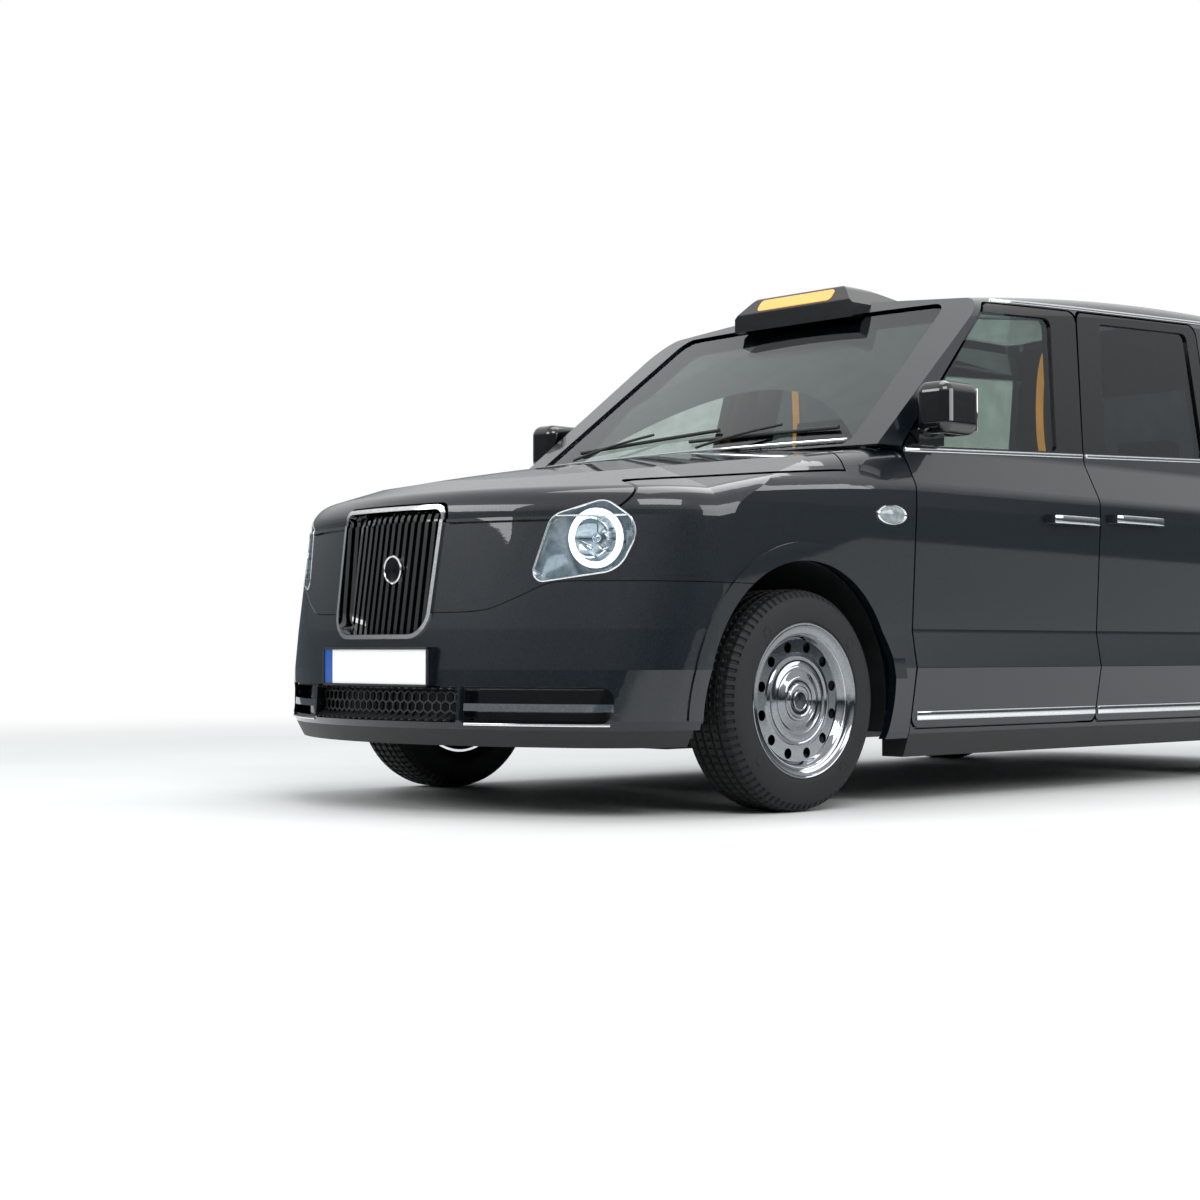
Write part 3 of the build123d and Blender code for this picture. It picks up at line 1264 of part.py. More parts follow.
def roof_sign_pieces():
    """Low domed sign over the windscreen, with its lens."""
    front_y, brow_y, crest_y, tail_y = ROOF_SIGN_Y
    low, high = ROOF_SIGN_Z
    top_x, side_x = ROOF_SIGN_X
    under = low - 60
    side_rows_here = [
        (front_y, under, 0),
        (tail_y, under, 0),
        (tail_y, SIGN_TAIL_Z, 0),
        (crest_y, high, 200),
        (brow_y, high, 22),
        (front_y, low + 6, 8),
    ]
    front_rows = [(-side_x, under, 0), (side_x, under, 0), (side_x, low - 8, 0), (top_x, high + 2, 70)]
    front_rows += [(-top_x, high + 2, 70), (-side_x, low - 8, 0)]
    body = prism_x(side_rows_here, -WIDTH, WIDTH) & prism_y(front_rows, front_y - 1, tail_y + 1)
    lean = (brow_y - front_y) / (high - low - 6)
    lens_low, lens_high = SIGN_LENS_Z
    face_low = front_y + (lens_low - low - 6) * lean
    face_high = front_y + (lens_high - low - 6) * lean
    lens_rows = [
        (face_low - 3, lens_low, 2),
        (face_low + 14, lens_low, 0),
        (face_high + 14, lens_high, 0),
        (face_high - 3, lens_high, 2),
    ]
    lens_x = SIGN_LENS_X
    lens_front = [(-lens_x, lens_low, 18), (lens_x, lens_low, 18)]
    lens_front += [(lens_x, lens_high, 18), (-lens_x, lens_high, 18)]
    lens = prism_x(lens_rows, -lens_x, lens_x) & prism_y(lens_front, front_y - 20, tail_y)
    above = roof_envelope(-SEAT_GAP) & screen_envelope(-SEAT_GAP)
    body = cut([body], above)
    lens = cut([lens], above)
    return cut(body, lens[0]), lens


def number_plate(y, z):
    """Blank plate whose back or front lies at a distance along the car."""
    return box(-PLATE_X, PLATE_X, y, y + PLATE_THICKNESS, z - PLATE_HEIGHT / 2, z + PLATE_HEIGHT / 2)


def tailgate_skin_y(z):
    """Distance along the car of the tailgate's outer face at a height under the belt."""
    rows = SIDE_SECTION
    for (low, low_x, _), (high, high_x, _) in zip(rows, rows[1:]):
        if low <= z <= high:
            return TAIL_Y - HALF_WIDTH + low_x + (high_x - low_x) * (z - low) / (high - low)
    return TAIL_Y


def write_all():
    """Builds and writes every piece."""
    bonnet, wings, bumper = nose_pieces()
    write("bonnet", bonnet)
    write("front_wings", wings)
    write("front_bumper", bumper_details(bumper))
    write("lower_trims", [splitter()] + sills())
    surround, inserts = grille_pieces()
    write("grille_surround", surround)
    write("grille_inserts", inserts)
    write("headlamps", headlamps())
    pieces = shell_and_glass()
    pieces["fixed_glass"] += partition_glass()
    for name in ("body_shell", "roof_panel", "fixed_glass", "tail_lamps", "tailgate", "tailgate_glass"):
        write(name, pieces[name])
    for name in ("front", "rear"):
        for part in (f"door_{name}", f"door_{name}_glass"):
            write(f"{part}_left", pieces[part])
            write(f"{part}_right", [mirrored(s) for s in pieces[part]])
    write("rear_bumper", rear_bumper())
    for place, axle_y in (("front", FRONT_AXLE_Y), ("rear", REAR_AXLE_Y)):
        left_tyre, left_rim = tyre(axle_y), rim(axle_y)
        write(f"tyre_{place}_left", left_tyre)
        write(f"tyre_{place}_right", mirrored(left_tyre))
        write(f"rim_{place}_left", left_rim)
        write(f"rim_{place}_right", mirrored(left_rim))
    left_knuckle = knuckle()
    write("knuckle_left", left_knuckle)
    write("knuckle_right", mirrored(left_knuckle))
    write("suspension", suspension())
    write("wheelhouse_liners", wheelhouse_liners())
    write("floor_pan", floor_pan())
    write("cabin_trims", [dashboard()] + solids_of(partition()))
    write("steering_wheel", steering_wheel())
    write("seats", [driver_seat(), rear_seat()] + tip_up_seats())
    write("power_units", power_units())
    left_mirror = mirror_pieces()
    write("mirror_left", left_mirror)
    write("mirror_right", [mirrored(s) for s in left_mirror])
    sign, lens = roof_sign_pieces()
    write("roof_sign", sign)
    write("roof_sign_lens", lens)
    write("number_plate_front", number_plate(PLATE_Y - SEAT_GAP - PLATE_THICKNESS, PLATE_Z))
    rear_y = tailgate_skin_y(REAR_PLATE_Z + PLATE_HEIGHT / 2) + SEAT_GAP
    write("number_plate_rear", number_plate(rear_y, REAR_PLATE_Z))


write_all()
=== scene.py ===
import math

import bpy
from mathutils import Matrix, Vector


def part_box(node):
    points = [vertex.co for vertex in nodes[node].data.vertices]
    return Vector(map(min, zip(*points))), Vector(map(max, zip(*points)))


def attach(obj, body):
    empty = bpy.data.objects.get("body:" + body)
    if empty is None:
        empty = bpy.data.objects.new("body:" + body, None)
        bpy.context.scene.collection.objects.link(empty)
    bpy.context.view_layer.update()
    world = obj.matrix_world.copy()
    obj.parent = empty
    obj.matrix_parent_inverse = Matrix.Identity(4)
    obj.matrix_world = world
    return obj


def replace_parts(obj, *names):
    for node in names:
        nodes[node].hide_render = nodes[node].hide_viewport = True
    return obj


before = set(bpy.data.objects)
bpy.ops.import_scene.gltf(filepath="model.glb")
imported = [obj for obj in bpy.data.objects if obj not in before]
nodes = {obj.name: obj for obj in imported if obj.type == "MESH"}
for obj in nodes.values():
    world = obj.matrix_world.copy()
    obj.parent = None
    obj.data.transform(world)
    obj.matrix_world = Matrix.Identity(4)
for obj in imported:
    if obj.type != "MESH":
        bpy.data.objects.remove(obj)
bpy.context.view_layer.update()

# Sizes taken over from the solids, in metres
FRONT_AXLE_Y, REAR_AXLE_Y = -1.463, 1.522
WHEEL_X, AXLE_Z = 0.818, 0.343
SIDES = (("left", 1), ("right", -1))
# The belt line and the roof rail's lower edge: a place along the car, the height there, and the slope
BELT_Y, BELT_Z, BELT_SLOPE = -0.930, 1.158, 0.041
RAIL_Y, RAIL_Z, RAIL_SLOPE = -0.394, 1.716, 0.044
FRAME_FOOT_Z = 1.203  # foot of the black window frames at the car's middle, 7 mm over the belt line


def belt_z(y):
    """Height of the belt line."""
    return BELT_Z + (y - BELT_Y) * BELT_SLOPE


def rail_z(y):
    """Height of the roof rail's lower edge."""
    return RAIL_Z + (y - RAIL_Y) * RAIL_SLOPE


# -------- materials
# A pattern's size on the car in millimetres is 1000 divided by its Scale.
def colour(text):
    """Linear colour of an sRGB hex value."""
    parts = [int(text[i:i + 2], 16) / 255 for i in (1, 3, 5)]
    return [c / 12.92 if c <= 0.04045 else ((c + 0.055) / 1.055) ** 2.4 for c in parts] + [1.0]


def add(material, kind, inputs=None, **settings):
    """Adds a shader node: its settings, and for each input a value or the output or node that feeds it."""
    node = material.node_tree.nodes.new("ShaderNode" + kind)
    for name, value in settings.items():
        setattr(node, name, value)
    for name, value in (inputs or {}).items():
        socket = node.inputs[name]
        if isinstance(value, bpy.types.Node):
            value = value.outputs[0]
        if isinstance(value, bpy.types.NodeSocket):
            material.node_tree.links.new(value, socket)
        else:
            socket.default_value = value
    return node


def fresh(name):
    """A material whose node tree is still empty, and its Object coordinates."""
    material = bpy.data.materials.new(name)
    material.use_nodes = True
    material.node_tree.nodes.clear()
    place = add(material, "TexCoord").outputs["Object"]
    return material, place


def finish_material(material, surface):
    """Joins a shader, or the inputs of a principled one, to the material's output."""
    if isinstance(surface, dict):
        surface = add(material, "BsdfPrincipled", surface)
    add(material, "OutputMaterial", {"Surface": surface})
    return material


def two_colours(material, factor, first, second, low, high):
    """Colour that runs from one hex value to another as a pattern rises from low to high."""
    ramp = add(material, "ValToRGB", {"Fac": factor})
    ramp.color_ramp.elements[0].position, ramp.color_ramp.elements[0].color = low, colour(first)
    ramp.color_ramp.elements[1].position, ramp.color_ramp.elements[1].color = high, colour(second)
    return ramp


def spread(material, factor, low, high):
    """A pattern from 0 to 1 turned into values from low to high."""
    return add(material, "MapRange", {"Value": factor, "To Min": low, "To Max": high})


def relief(material, height, depth_mm):
    """Normals of a pattern whose full height is a depth in millimetres."""
    return add(material, "Bump", {"Height": height, "Distance": depth_mm / 1000, "Strength": 1.0})


def car_paint(name="blue_black_metallic_paint"):
    """Metallic paint under clear lacquer: dark and even, with fine flakes and a faint orange peel."""
    m, place = fresh(name)
    # flakes are 0.1 mm wide on the real panel, drawn 1.2 mm wide so that they show
    flakes = add(m, "TexVoronoi", {"Vector": place, "Scale": 830.0}).outputs["Color"]
    single = add(m, "SeparateColor", {"Color": flakes})
    base = two_colours(m, single, "#05080C", "#101B25", 0.2, 0.95)
    peel = add(m, "TexNoise", {"Vector": place, "Scale": 160.0, "Detail": 1.0})
    return finish_material(m, {
        "Base Color": base, "Metallic": 0.15, "Roughness": spread(m, single, 0.3, 0.45), "Specular IOR Level": 0.15,
        "Coat Weight": 1.0, "Coat Roughness": 0.012, "Coat IOR": 1.5,
        "Coat Normal": relief(m, peel, 0.01),
    })


def door_paint():
    """The body's paint, with piano-black lacquer on the window frames over the belt line."""
    m = car_paint("blue_black_paint_with_black_frames")
    place = add(m, "TexCoord").outputs["Object"]
    parts = add(m, "SeparateXYZ", {"Vector": place}).outputs
    rise = add(m, "Math", {0: parts["Y"], 1: BELT_SLOPE}, operation="MULTIPLY")
    over = add(m, "Math", {0: parts["Z"], 1: rise}, operation="SUBTRACT")
    frame_part = add(m, "Math", {0: over, 1: FRAME_FOOT_Z}, operation="GREATER_THAN")
    scratch = add(m, "TexNoise", {"Vector": place, "Scale": 60.0, "Detail": 5.0})
    lacquer = add(m, "BsdfPrincipled", {
        "Base Color": two_colours(m, scratch, "#040506", "#08090B", 0.35, 0.7),
        "Roughness": spread(m, scratch, 0.05, 0.1),
    })
    last = next(n for n in m.node_tree.nodes if n.type == "OUTPUT_MATERIAL")
    painted = last.inputs["Surface"].links[0].from_socket
    both = add(m, "MixShader", {0: frame_part, 1: painted, 2: lacquer})
    m.node_tree.links.new(both.outputs[0], last.inputs["Surface"])
    return m


def chrome(name, base, rough, smear, paler="#F2F3F4"):
    """Polished chrome plate with faint wiping marks about 6 mm wide."""
    m, place = fresh(name)
    marks = add(m, "TexNoise", {"Vector": place, "Scale": 160.0, "Detail": 3.0})
    return finish_material(m, {
        "Base Color": two_colours(m, marks, base, paler, 0.3, 0.7), "Metallic": 1.0,
        "Roughness": spread(m, marks, rough, rough + smear),
    })


def window_glass(name, tint, dark):
    """Toughened window glass: clear with a green-grey tint, mirror-bright at a low angle."""
    m, place = fresh(name)
    # drifting film of dust about 90 mm across
    dust = add(m, "TexNoise", {"Vector": place, "Scale": 11.0, "Detail": 4.0})
    through = add(m, "BsdfTransparent", {"Color": two_colours(m, dust, tint, dark, 0.3, 0.75)})
    gloss = add(m, "BsdfGlossy", {"Color": colour("#F4F8FA"), "Roughness": 0.004})
    edge = add(m, "Fresnel", {"IOR": 1.5})
    # only the outer face mirrors: the pane is a solid, and its second face would mirror again
    outer = add(m, "NewGeometry").outputs["Backfacing"]
    outer = add(m, "Math", {0: 1.0, 1: outer}, operation="SUBTRACT")
    share = add(m, "Math", {0: edge, 1: outer}, operation="MULTIPLY")
    return finish_material(m, add(m, "MixShader", {0: share, 1: through, 2: gloss}))


def moulded_plastic(name, dark, pale, grain_mm, rough):
    """Injection-moulded plastic: dull, with a leather-like grain 0.12 mm deep."""
    m, place = fresh(name)
    grain = add(m, "TexVoronoi", {"Vector": place, "Scale": 1000.0 / grain_mm})
    wear = add(m, "TexNoise", {"Vector": place, "Scale": 14.0, "Detail": 5.0})
    return finish_material(m, {
        "Base Color": two_colours(m, wear, dark, pale, 0.3, 0.75), "Roughness": spread(m, wear, rough, rough + 0.14),
        "Normal": relief(m, grain, 0.12),
    })


def gloss_plastic(name, base, second, rough=0.06):
    """Polished moulded plastic or piano-black lacquer with faint fine scratches."""
    m, place = fresh(name)
    haze = add(m, "TexNoise", {"Vector": place, "Scale": 60.0, "Detail": 6.0})
    return finish_material(m, {
        "Base Color": two_colours(m, haze, base, second, 0.35, 0.7), "Roughness": spread(m, haze, rough, rough + 0.05),
        "Coat Weight": 0.6, "Coat Roughness": 0.02,
    })


def lens_plastic(name, tint, glow, strength, ribs_mm=4.0):
    """Coloured polycarbonate lens with upright ribs moulded on its inside."""
    m, place = fresh(name)
    parts = add(m, "SeparateXYZ", {"Vector": place}).outputs
    ribs = add(m, "Math", {0: parts["X"], 1: 2000 * math.pi / ribs_mm}, operation="MULTIPLY")
    wave = add(m, "Math", {0: ribs}, operation="SINE")
    return finish_material(m, {
        "Base Color": two_colours(m, wave, tint, glow, 0.0, 1.0), "Roughness": 0.12, "Coat Weight": 1.0,
        "Coat Roughness": 0.02, "Emission Color": colour(glow), "Emission Strength": strength,
        "Normal": relief(m, wave, 0.3),
    })


def tyre_rubber():
    """Vulcanised rubber, dark grey with patches of pale road dust."""
    m, place = fresh("tyre_rubber")
    dust = add(m, "TexNoise", {"Vector": place, "Scale": 25.0, "Detail": 8.0, "Roughness": 0.7})
    fine = add(m, "TexNoise", {"Vector": place, "Scale": 900.0, "Detail": 2.0})
    return finish_material(m, {
        "Base Color": two_colours(m, dust, "#0C0D0F", "#1B1C1D", 0.35, 0.8), "Roughness": spread(m, dust, 0.5, 0.75),
        "Specular IOR Level": 0.35, "Normal": relief(m, fine, 0.15),
    })


def cast_metal(name, dark, pale, metallic, rough):
    """Sand-cast or painted steel surface with a 2 mm grain."""
    m, place = fresh(name)
    grain = add(m, "TexNoise", {"Vector": place, "Scale": 500.0, "Detail": 3.0})
    stain = add(m, "TexNoise", {"Vector": place, "Scale": 9.0, "Detail": 5.0})
    return finish_material(m, {
        "Base Color": two_colours(m, stain, dark, pale, 0.3, 0.7), "Metallic": metallic,
        "Roughness": spread(m, grain, rough, rough + 0.25), "Normal": relief(m, grain, 0.2),
    })


def woven_fabric(name, dark, pale, thread_mm):
    """Woven seat cloth: crossing threads with a soft sheen."""
    m, place = fresh(name)
    turns = 2000 * math.pi / thread_mm
    parts = add(m, "SeparateXYZ", {"Vector": place}).outputs
    up = add(m, "Math", {0: parts["Y"], 1: parts["Z"]}, operation="ADD")
    waves = []
    for way in (parts["X"], up):
        angle = add(m, "Math", {0: way, 1: turns}, operation="MULTIPLY")
        waves.append(add(m, "Math", {0: angle}, operation="SINE"))
    weave = add(m, "Math", {0: waves[0], 1: waves[1]}, operation="MULTIPLY")
    return finish_material(m, {
        "Base Color": two_colours(m, weave, dark, pale, 0.2, 0.8), "Roughness": 0.85, "Sheen Weight": 0.35,
        "Sheen Roughness": 0.4, "Normal": relief(m, weave, 0.4),
    })


def lit_lamp(name, tint, strength):
    """Opal light guide lit from behind, a little brighter in its middle."""
    m, place = fresh(name)
    cells = add(m, "TexNoise", {"Vector": place, "Scale": 200.0})
    return finish_material(m, {
        "Base Color": colour(tint), "Roughness": 0.3, "Emission Strength": strength,
        "Emission Color": two_colours(m, cells, tint, "#FFFFFF", 0.2, 0.6),
    })


PLATE_BAND_X = -0.215


def plate_sheet(name, ground):
    """Reflective plate sheet: tiny glass beads under clear film, with a blank blue band at the car's right."""
    m, place = fresh(name)
    parts = add(m, "SeparateXYZ", {"Vector": place}).outputs
    band = add(m, "Math", {0: parts["X"], 1: PLATE_BAND_X}, operation="LESS_THAN")
    beads = add(m, "TexVoronoi", {"Vector": place, "Scale": 500.0})
    sheet = two_colours(m, beads, ground, "#FFFFFF", 0.1, 1.6)
    both = add(m, "Mix", {0: band, 6: sheet, 7: colour("#1F4FA0")}, data_type="RGBA").outputs[2]
    return finish_material(m, {
        "Base Color": both, "Roughness": 0.28, "Coat Weight": 0.5, "Coat Roughness": 0.05,
        "Normal": relief(m, beads, 0.03),
    })


# Radii at which the rim turns from bright hub to dark dish and from dark dish to bright edge
HUB_EDGE, DISH_EDGE = (0.088, 0.094), (0.199, 0.205)


def wheel_finish():
    """Rim behind the wheel trim: plated hub and outer edge, dark dish between them, told apart by radius."""
    m, place = fresh("wheel_trim_chrome")
    parts = add(m, "SeparateXYZ", {"Vector": place}).outputs
    rear = add(m, "Math", {0: parts["Y"], 1: 0.0}, operation="GREATER_THAN")
    centre = spread(m, rear, FRONT_AXLE_Y, REAR_AXLE_Y)
    along = add(m, "Math", {0: parts["Y"], 1: centre}, operation="SUBTRACT")
    up = add(m, "Math", {0: parts["Z"], 1: AXLE_Z}, operation="SUBTRACT")
    flat = add(m, "CombineXYZ", {"X": along, "Y": up})
    radius = add(m, "VectorMath", {0: flat}, operation="LENGTH").outputs["Value"]
    past_hub, past_dish = (
        add(m, "MapRange", {"Value": radius, "From Min": low, "From Max": high})
        for low, high in (HUB_EDGE, DISH_EDGE)
    )
    dull = add(m, "Math", {0: past_hub, 1: past_dish}, operation="SUBTRACT")
    marks = add(m, "TexNoise", {"Vector": place, "Scale": 120.0, "Detail": 4.0})
    rough = {0: spread(m, dull, 0.05, 0.3), 1: spread(m, marks, 0.0, 0.06)}
    return finish_material(m, {
        "Base Color": two_colours(m, dull, "#D9DBDD", "#16171A", 0.1, 0.9), "Metallic": 1.0,
        "Roughness": add(m, "Math", rough, operation="ADD"),
    })


paint = car_paint()
framed_paint = door_paint()
bright = chrome("bright_chrome_plate", "#D8DADC", 0.03, 0.05)
cap_chrome = chrome("smoked_chrome_plate", "#7C7F84", 0.04, 0.06, "#909398")
satin = chrome("satin_chrome_plate", "#A9ABAE", 0.18, 0.1)
clear_glass = window_glass("green_tinted_window_glass", "#E6EBE9", "#DAE0DD")
dark_glass = window_glass("dark_rear_window_glass", "#9AA1A4", "#8C9396")
lamp_cover = window_glass("clear_lamp_polycarbonate", "#F4F8FA", "#E8EEF2")
pale_satin = gloss_plastic("pale_lamp_housing_plastic", "#6E777B", "#8D969A", 0.12)
black_plastic = moulded_plastic("black_moulded_polypropylene", "#0C0D0E", "#17181A", 1.4, 0.45)
trim_plastic = moulded_plastic("grey_moulded_cabin_plastic", "#26282B", "#34373A", 1.6, 0.5)
piano_black = gloss_plastic("piano_black_lacquered_plastic", "#050607", "#0C0D0F")
# its glow suits the roof sign, which is a lamp; on the grab rails that share this finish it is a painted glow
orange_lens = lens_plastic("orange_sign_polycarbonate", "#E8871E", "#FFB347", 0.5)
red_lens = lens_plastic("red_lamp_acrylic", "#7E0B10", "#C4161C", 0.05)
rubber = tyre_rubber()
steel = cast_metal("chassis_painted_steel", "#17181A", "#26282A", 0.3, 0.5)
iron = cast_metal("cast_iron", "#3A3B3D", "#57585A", 0.9, 0.45)
alloy = cast_metal("cast_aluminium", "#77797C", "#94969A", 0.9, 0.4)
cloth = woven_fabric("dark_woven_seat_cloth", "#121316", "#2A2C31", 3.0)
white_plate = plate_sheet("white_plate_sheet", "#E9E9E4")
yellow_plate = plate_sheet("yellow_plate_sheet", "#E8C21C")
white_light = lit_lamp("white_light_guide", "#EAF4FF", 1.8)
wheel_trim = wheel_finish()

# Finish of each solid
for finish, names in (
    (paint, "body_shell bonnet front_wings front_bumper rear_bumper roof_panel tailgate"),
    (framed_paint, "door_front_left door_front_right door_rear_left door_rear_right"),
    (clear_glass, "fixed_glass door_front_glass_left door_front_glass_right"),
    (dark_glass, "tailgate_glass door_rear_glass_left door_rear_glass_right"),
    (lamp_cover, "headlamps"), (red_lens, "tail_lamps"), (orange_lens, "roof_sign_lens"),
    (bright, "grille_surround"), (piano_black, "grille_inserts mirror_left mirror_right roof_sign"),
    (black_plastic, "lower_trims wheelhouse_liners"), (trim_plastic, "cabin_trims steering_wheel"),
    (white_plate, "number_plate_front"), (yellow_plate, "number_plate_rear"),
    (steel, "floor_pan suspension"), (iron, "knuckle_left knuckle_right"), (alloy, "power_units"), (cloth, "seats"),
    (rubber, "tyre_front_left tyre_front_right tyre_rear_left tyre_rear_right"),
    (wheel_trim, "rim_front_left rim_front_right rim_rear_left rim_rear_right"),
):
    for name in names.split():
        nodes[name].data.materials.clear()
        nodes[name].data.materials.append(finish)


# -------- modelling by hand
# Turn of a flat start whose face looks along an axis
TURNS = {"X": (0, math.pi / 2, 0), "Y": (math.pi / 2, 0, 0)}


def nothing_selected():
    """Leaves edit mode and deselects everything."""
    if bpy.context.object and bpy.context.object.mode != "OBJECT":
        bpy.ops.object.mode_set(mode="OBJECT")
    bpy.ops.object.select_all(action="DESELECT")


def hold(piece):
    """Makes a piece the active one and the only one selected."""
    nothing_selected()
    piece.select_set(True)
    bpy.context.view_layer.objects.active = piece


def edit_all():
    """Goes into edit mode with all of the active piece selected."""
    bpy.ops.object.mode_set(mode="EDIT")
    bpy.ops.mesh.select_all(action="SELECT")


def edit_done():
    """Goes back to object mode."""
    bpy.ops.object.mode_set(mode="OBJECT")


def edit_picked(piece, rule):
    """Goes into edit mode with the faces selected that a rule on their centre and normal picks."""
    bpy.context.tool_settings.mesh_select_mode = (False, False, True)
    bpy.ops.object.mode_set(mode="EDIT")
    bpy.ops.mesh.select_all(action="DESELECT")
    edit_done()
    for face in piece.data.polygons:
        face.select = rule(face.center, face.normal)
    bpy.ops.object.mode_set(mode="EDIT")


def apply_place():
    """Takes the active piece's place, turn and size into its mesh."""
    bpy.ops.object.transform_apply(location=True, rotation=True, scale=True)


def set_down(piece, name, material, body="body", angle=35):
    """Names a piece, applies its place, gives it its finish and slot and lets it ride on a body."""
    hold(piece)
    apply_place()
    piece.name = name
    piece.data.materials.clear()
    piece.data.materials.append(material)
    bpy.ops.object.shade_smooth_by_angle(angle=math.radians(angle))
    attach(piece, body)
    return piece


def changed(piece, kind, **settings):
    """Adds a modifier to a piece and applies it."""
    hold(piece)
    step = piece.modifiers.new(kind.lower(), kind)
    for name, value in settings.items():
        setattr(step, name, value)
    bpy.ops.object.modifier_apply(modifier=step.name)
    return piece


def rounded(piece, width, segments=3):
    """Rounds all of a piece's edges."""
    return changed(piece, "BEVEL", width=width, segments=segments, limit_method="ANGLE")


def repeated(piece, count, step):
    """Copies a piece in a row, each copy a step further."""
    return changed(piece, "ARRAY", count=count, use_relative_offset=False, use_constant_offset=True,
                   constant_offset_displace=step)


def laid_back(piece, node, stand_off=0.0):
    """Moves a flat piece backwards until it lies on a solid, or stands off it."""
    return changed(piece, "SHRINKWRAP", target=nodes[node], wrap_method="PROJECT", use_project_y=True,
                   use_positive_direction=True, use_negative_direction=False, offset=stand_off)


def block(low, high):
    """A block between two corners, as the active object."""
    nothing_selected()
    middle = [(a + b) / 2 for a, b in zip(low, high)]
    bpy.ops.mesh.primitive_cube_add(size=1, location=middle)
    piece = bpy.context.object
    piece.scale = [b - a for a, b in zip(low, high)]
    bpy.ops.object.transform_apply(location=False, rotation=False, scale=True)
    return piece


def hard(name, low, high, finish, width=0.008, body="body", segments=3):
    """Hard block with rounded edges."""
    return set_down(rounded(block(low, high), width, segments), name, finish, body)


def turned(rows, centre, segments=96, axis="X"):
    """A turned form: a circle extruded and resized through rows of (place along the axis, radius)."""
    nothing_selected()
    k = "XYZ".index(axis)
    at = Vector(centre)
    at[k] += rows[0][0]
    bpy.context.tool_settings.mesh_select_mode = (True, False, False)
    bpy.ops.mesh.primitive_circle_add(vertices=segments, radius=rows[0][1], location=at, rotation=TURNS[axis])
    apply_place()
    edit_all()
    for (a, ra), (b, rb) in zip(rows, rows[1:]):
        move = [0.0, 0.0, 0.0]
        move[k] = b - a
        bpy.ops.mesh.extrude_region_move(TRANSFORM_OT_translate={"value": move})
        grow = [rb / ra] * 3
        grow[k] = 1.0
        middle = Vector(centre)
        middle[k] += b
        bpy.ops.transform.resize(value=grow, center_override=middle)
    bpy.ops.mesh.select_all(action="SELECT")
    bpy.ops.mesh.remove_doubles(threshold=1e-6)
    bpy.ops.mesh.normals_make_consistent(inside=False)
    edit_done()
    return bpy.context.object


def drawn(points, sizes, axis):
    """A bar of rectangular section drawn from point to point; the section looks along the axis."""
    nothing_selected()
    bpy.ops.mesh.primitive_plane_add(size=1, location=points[0], rotation=TURNS[axis])
    piece = bpy.context.object
    bpy.ops.object.transform_apply(location=False, rotation=True, scale=False)
    scale = [1.0, 1.0, 1.0]
    for k, size in zip([k for k in range(3) if k != "XYZ".index(axis)], sizes):
        scale[k] = size
    piece.scale = scale
    apply_place()
    edit_all()
    for a, b in zip(points, points[1:]):
        move = [v - u for u, v in zip(a, b)]
        bpy.ops.mesh.extrude_region_move(TRANSFORM_OT_translate={"value": move})
    bpy.ops.mesh.select_all(action="SELECT")
    bpy.ops.mesh.normals_make_consistent(inside=False)
    edit_done()
    return piece


FINE_EDGE = 0.002


def bright_bar(name, points, section, axis, width, body="body"):
    """A chrome bar drawn from point to point; its edges are rounded, fine ones with fewer faces."""
    segments = 2 if width < FINE_EDGE else 4
    return set_down(rounded(drawn(points, section, axis), width, segments), name, bright, body)


def rod(points, radius, name, material, body="body"):
    """A round bar that bends smoothly through points, made a mesh."""
    nothing_selected()
    curve = bpy.data.curves.new(name, "CURVE")
    curve.dimensions, curve.bevel_depth, curve.bevel_resolution = "3D", radius, 6
    curve.use_fill_caps = True
    line = curve.splines.new("NURBS")
    line.points.add(len(points) - 1)
    for place, point in zip(points, line.points):
        point.co = (*place, 1)
    line.order_u, line.use_endpoint_u = 3, True
    piece = bpy.data.objects.new(name, curve)
    bpy.context.scene.collection.objects.link(piece)
    hold(piece)
    bpy.ops.object.convert(target="MESH")
    return set_down(bpy.context.object, name, material, body)


def picked(piece, wanted):
    """Deletes every face of the active piece that a rule on its centre and normal doesn't pick."""
    edit_picked(piece, lambda centre, normal: not wanted(centre, normal))
    bpy.ops.mesh.delete(type="FACE")
    edit_done()
    return piece


def skin_of(node, wanted):
    """The faces of a solid that a rule picks, copied and merged, as the active object."""
    piece = bpy.data.objects.new("skin", nodes[node].data.copy())
    bpy.context.scene.collection.objects.link(piece)
    hold(piece)
    edit_all()
    bpy.ops.mesh.remove_doubles(threshold=2e-5)
    edit_done()
    return picked(piece, wanted)


def outline(piece, radius):
    """A round bar along the open edge of a skin; the skin itself stays as it is."""
    copy = bpy.data.objects.new("outline", piece.data.copy())
    bpy.context.scene.collection.objects.link(copy)
    hold(copy)
    edit_all()
    bpy.ops.mesh.region_to_loop()
    bpy.ops.mesh.select_mode(type="EDGE")
    bpy.ops.mesh.select_all(action="INVERT")
    bpy.ops.mesh.delete(type="EDGE")
    bpy.ops.mesh.select_mode(type="FACE")
    edit_done()
    bpy.ops.object.convert(target="CURVE")
    line = bpy.context.object
    line.data.bevel_depth, line.data.bevel_resolution = radius, 2
    bpy.ops.object.convert(target="MESH")
    return bpy.context.object


def meeting(node, start, way):
    """Point where a straight line first meets a solid."""
    found, place, _, _ = nodes[node].ray_cast(Vector(start), Vector(way).normalized())
    if not found:
        raise ValueError(f"nothing of {node} is met from {start}")
    return place


# Starts of the lines that look for a solid: beside the car, ahead of its screen and nose, and behind it
BESIDE, AHEAD_OF_SCREEN, AHEAD_OF_NOSE, BEHIND = 1.3, -2.0, -3.0, 3.0


def side_meeting(node, side, y, z):
    """Point on the outside of a solid, found from the car's side."""
    return meeting(node, (side * BESIDE, y, z), (-side, 0, 0))


def steps(start, end, pitch):
    """Evenly spaced values from start to end, about a pitch apart."""
    count = max(1, round(abs(end - start) / pitch))
    return [start + (end - start) * k / count for k in range(count + 1)]


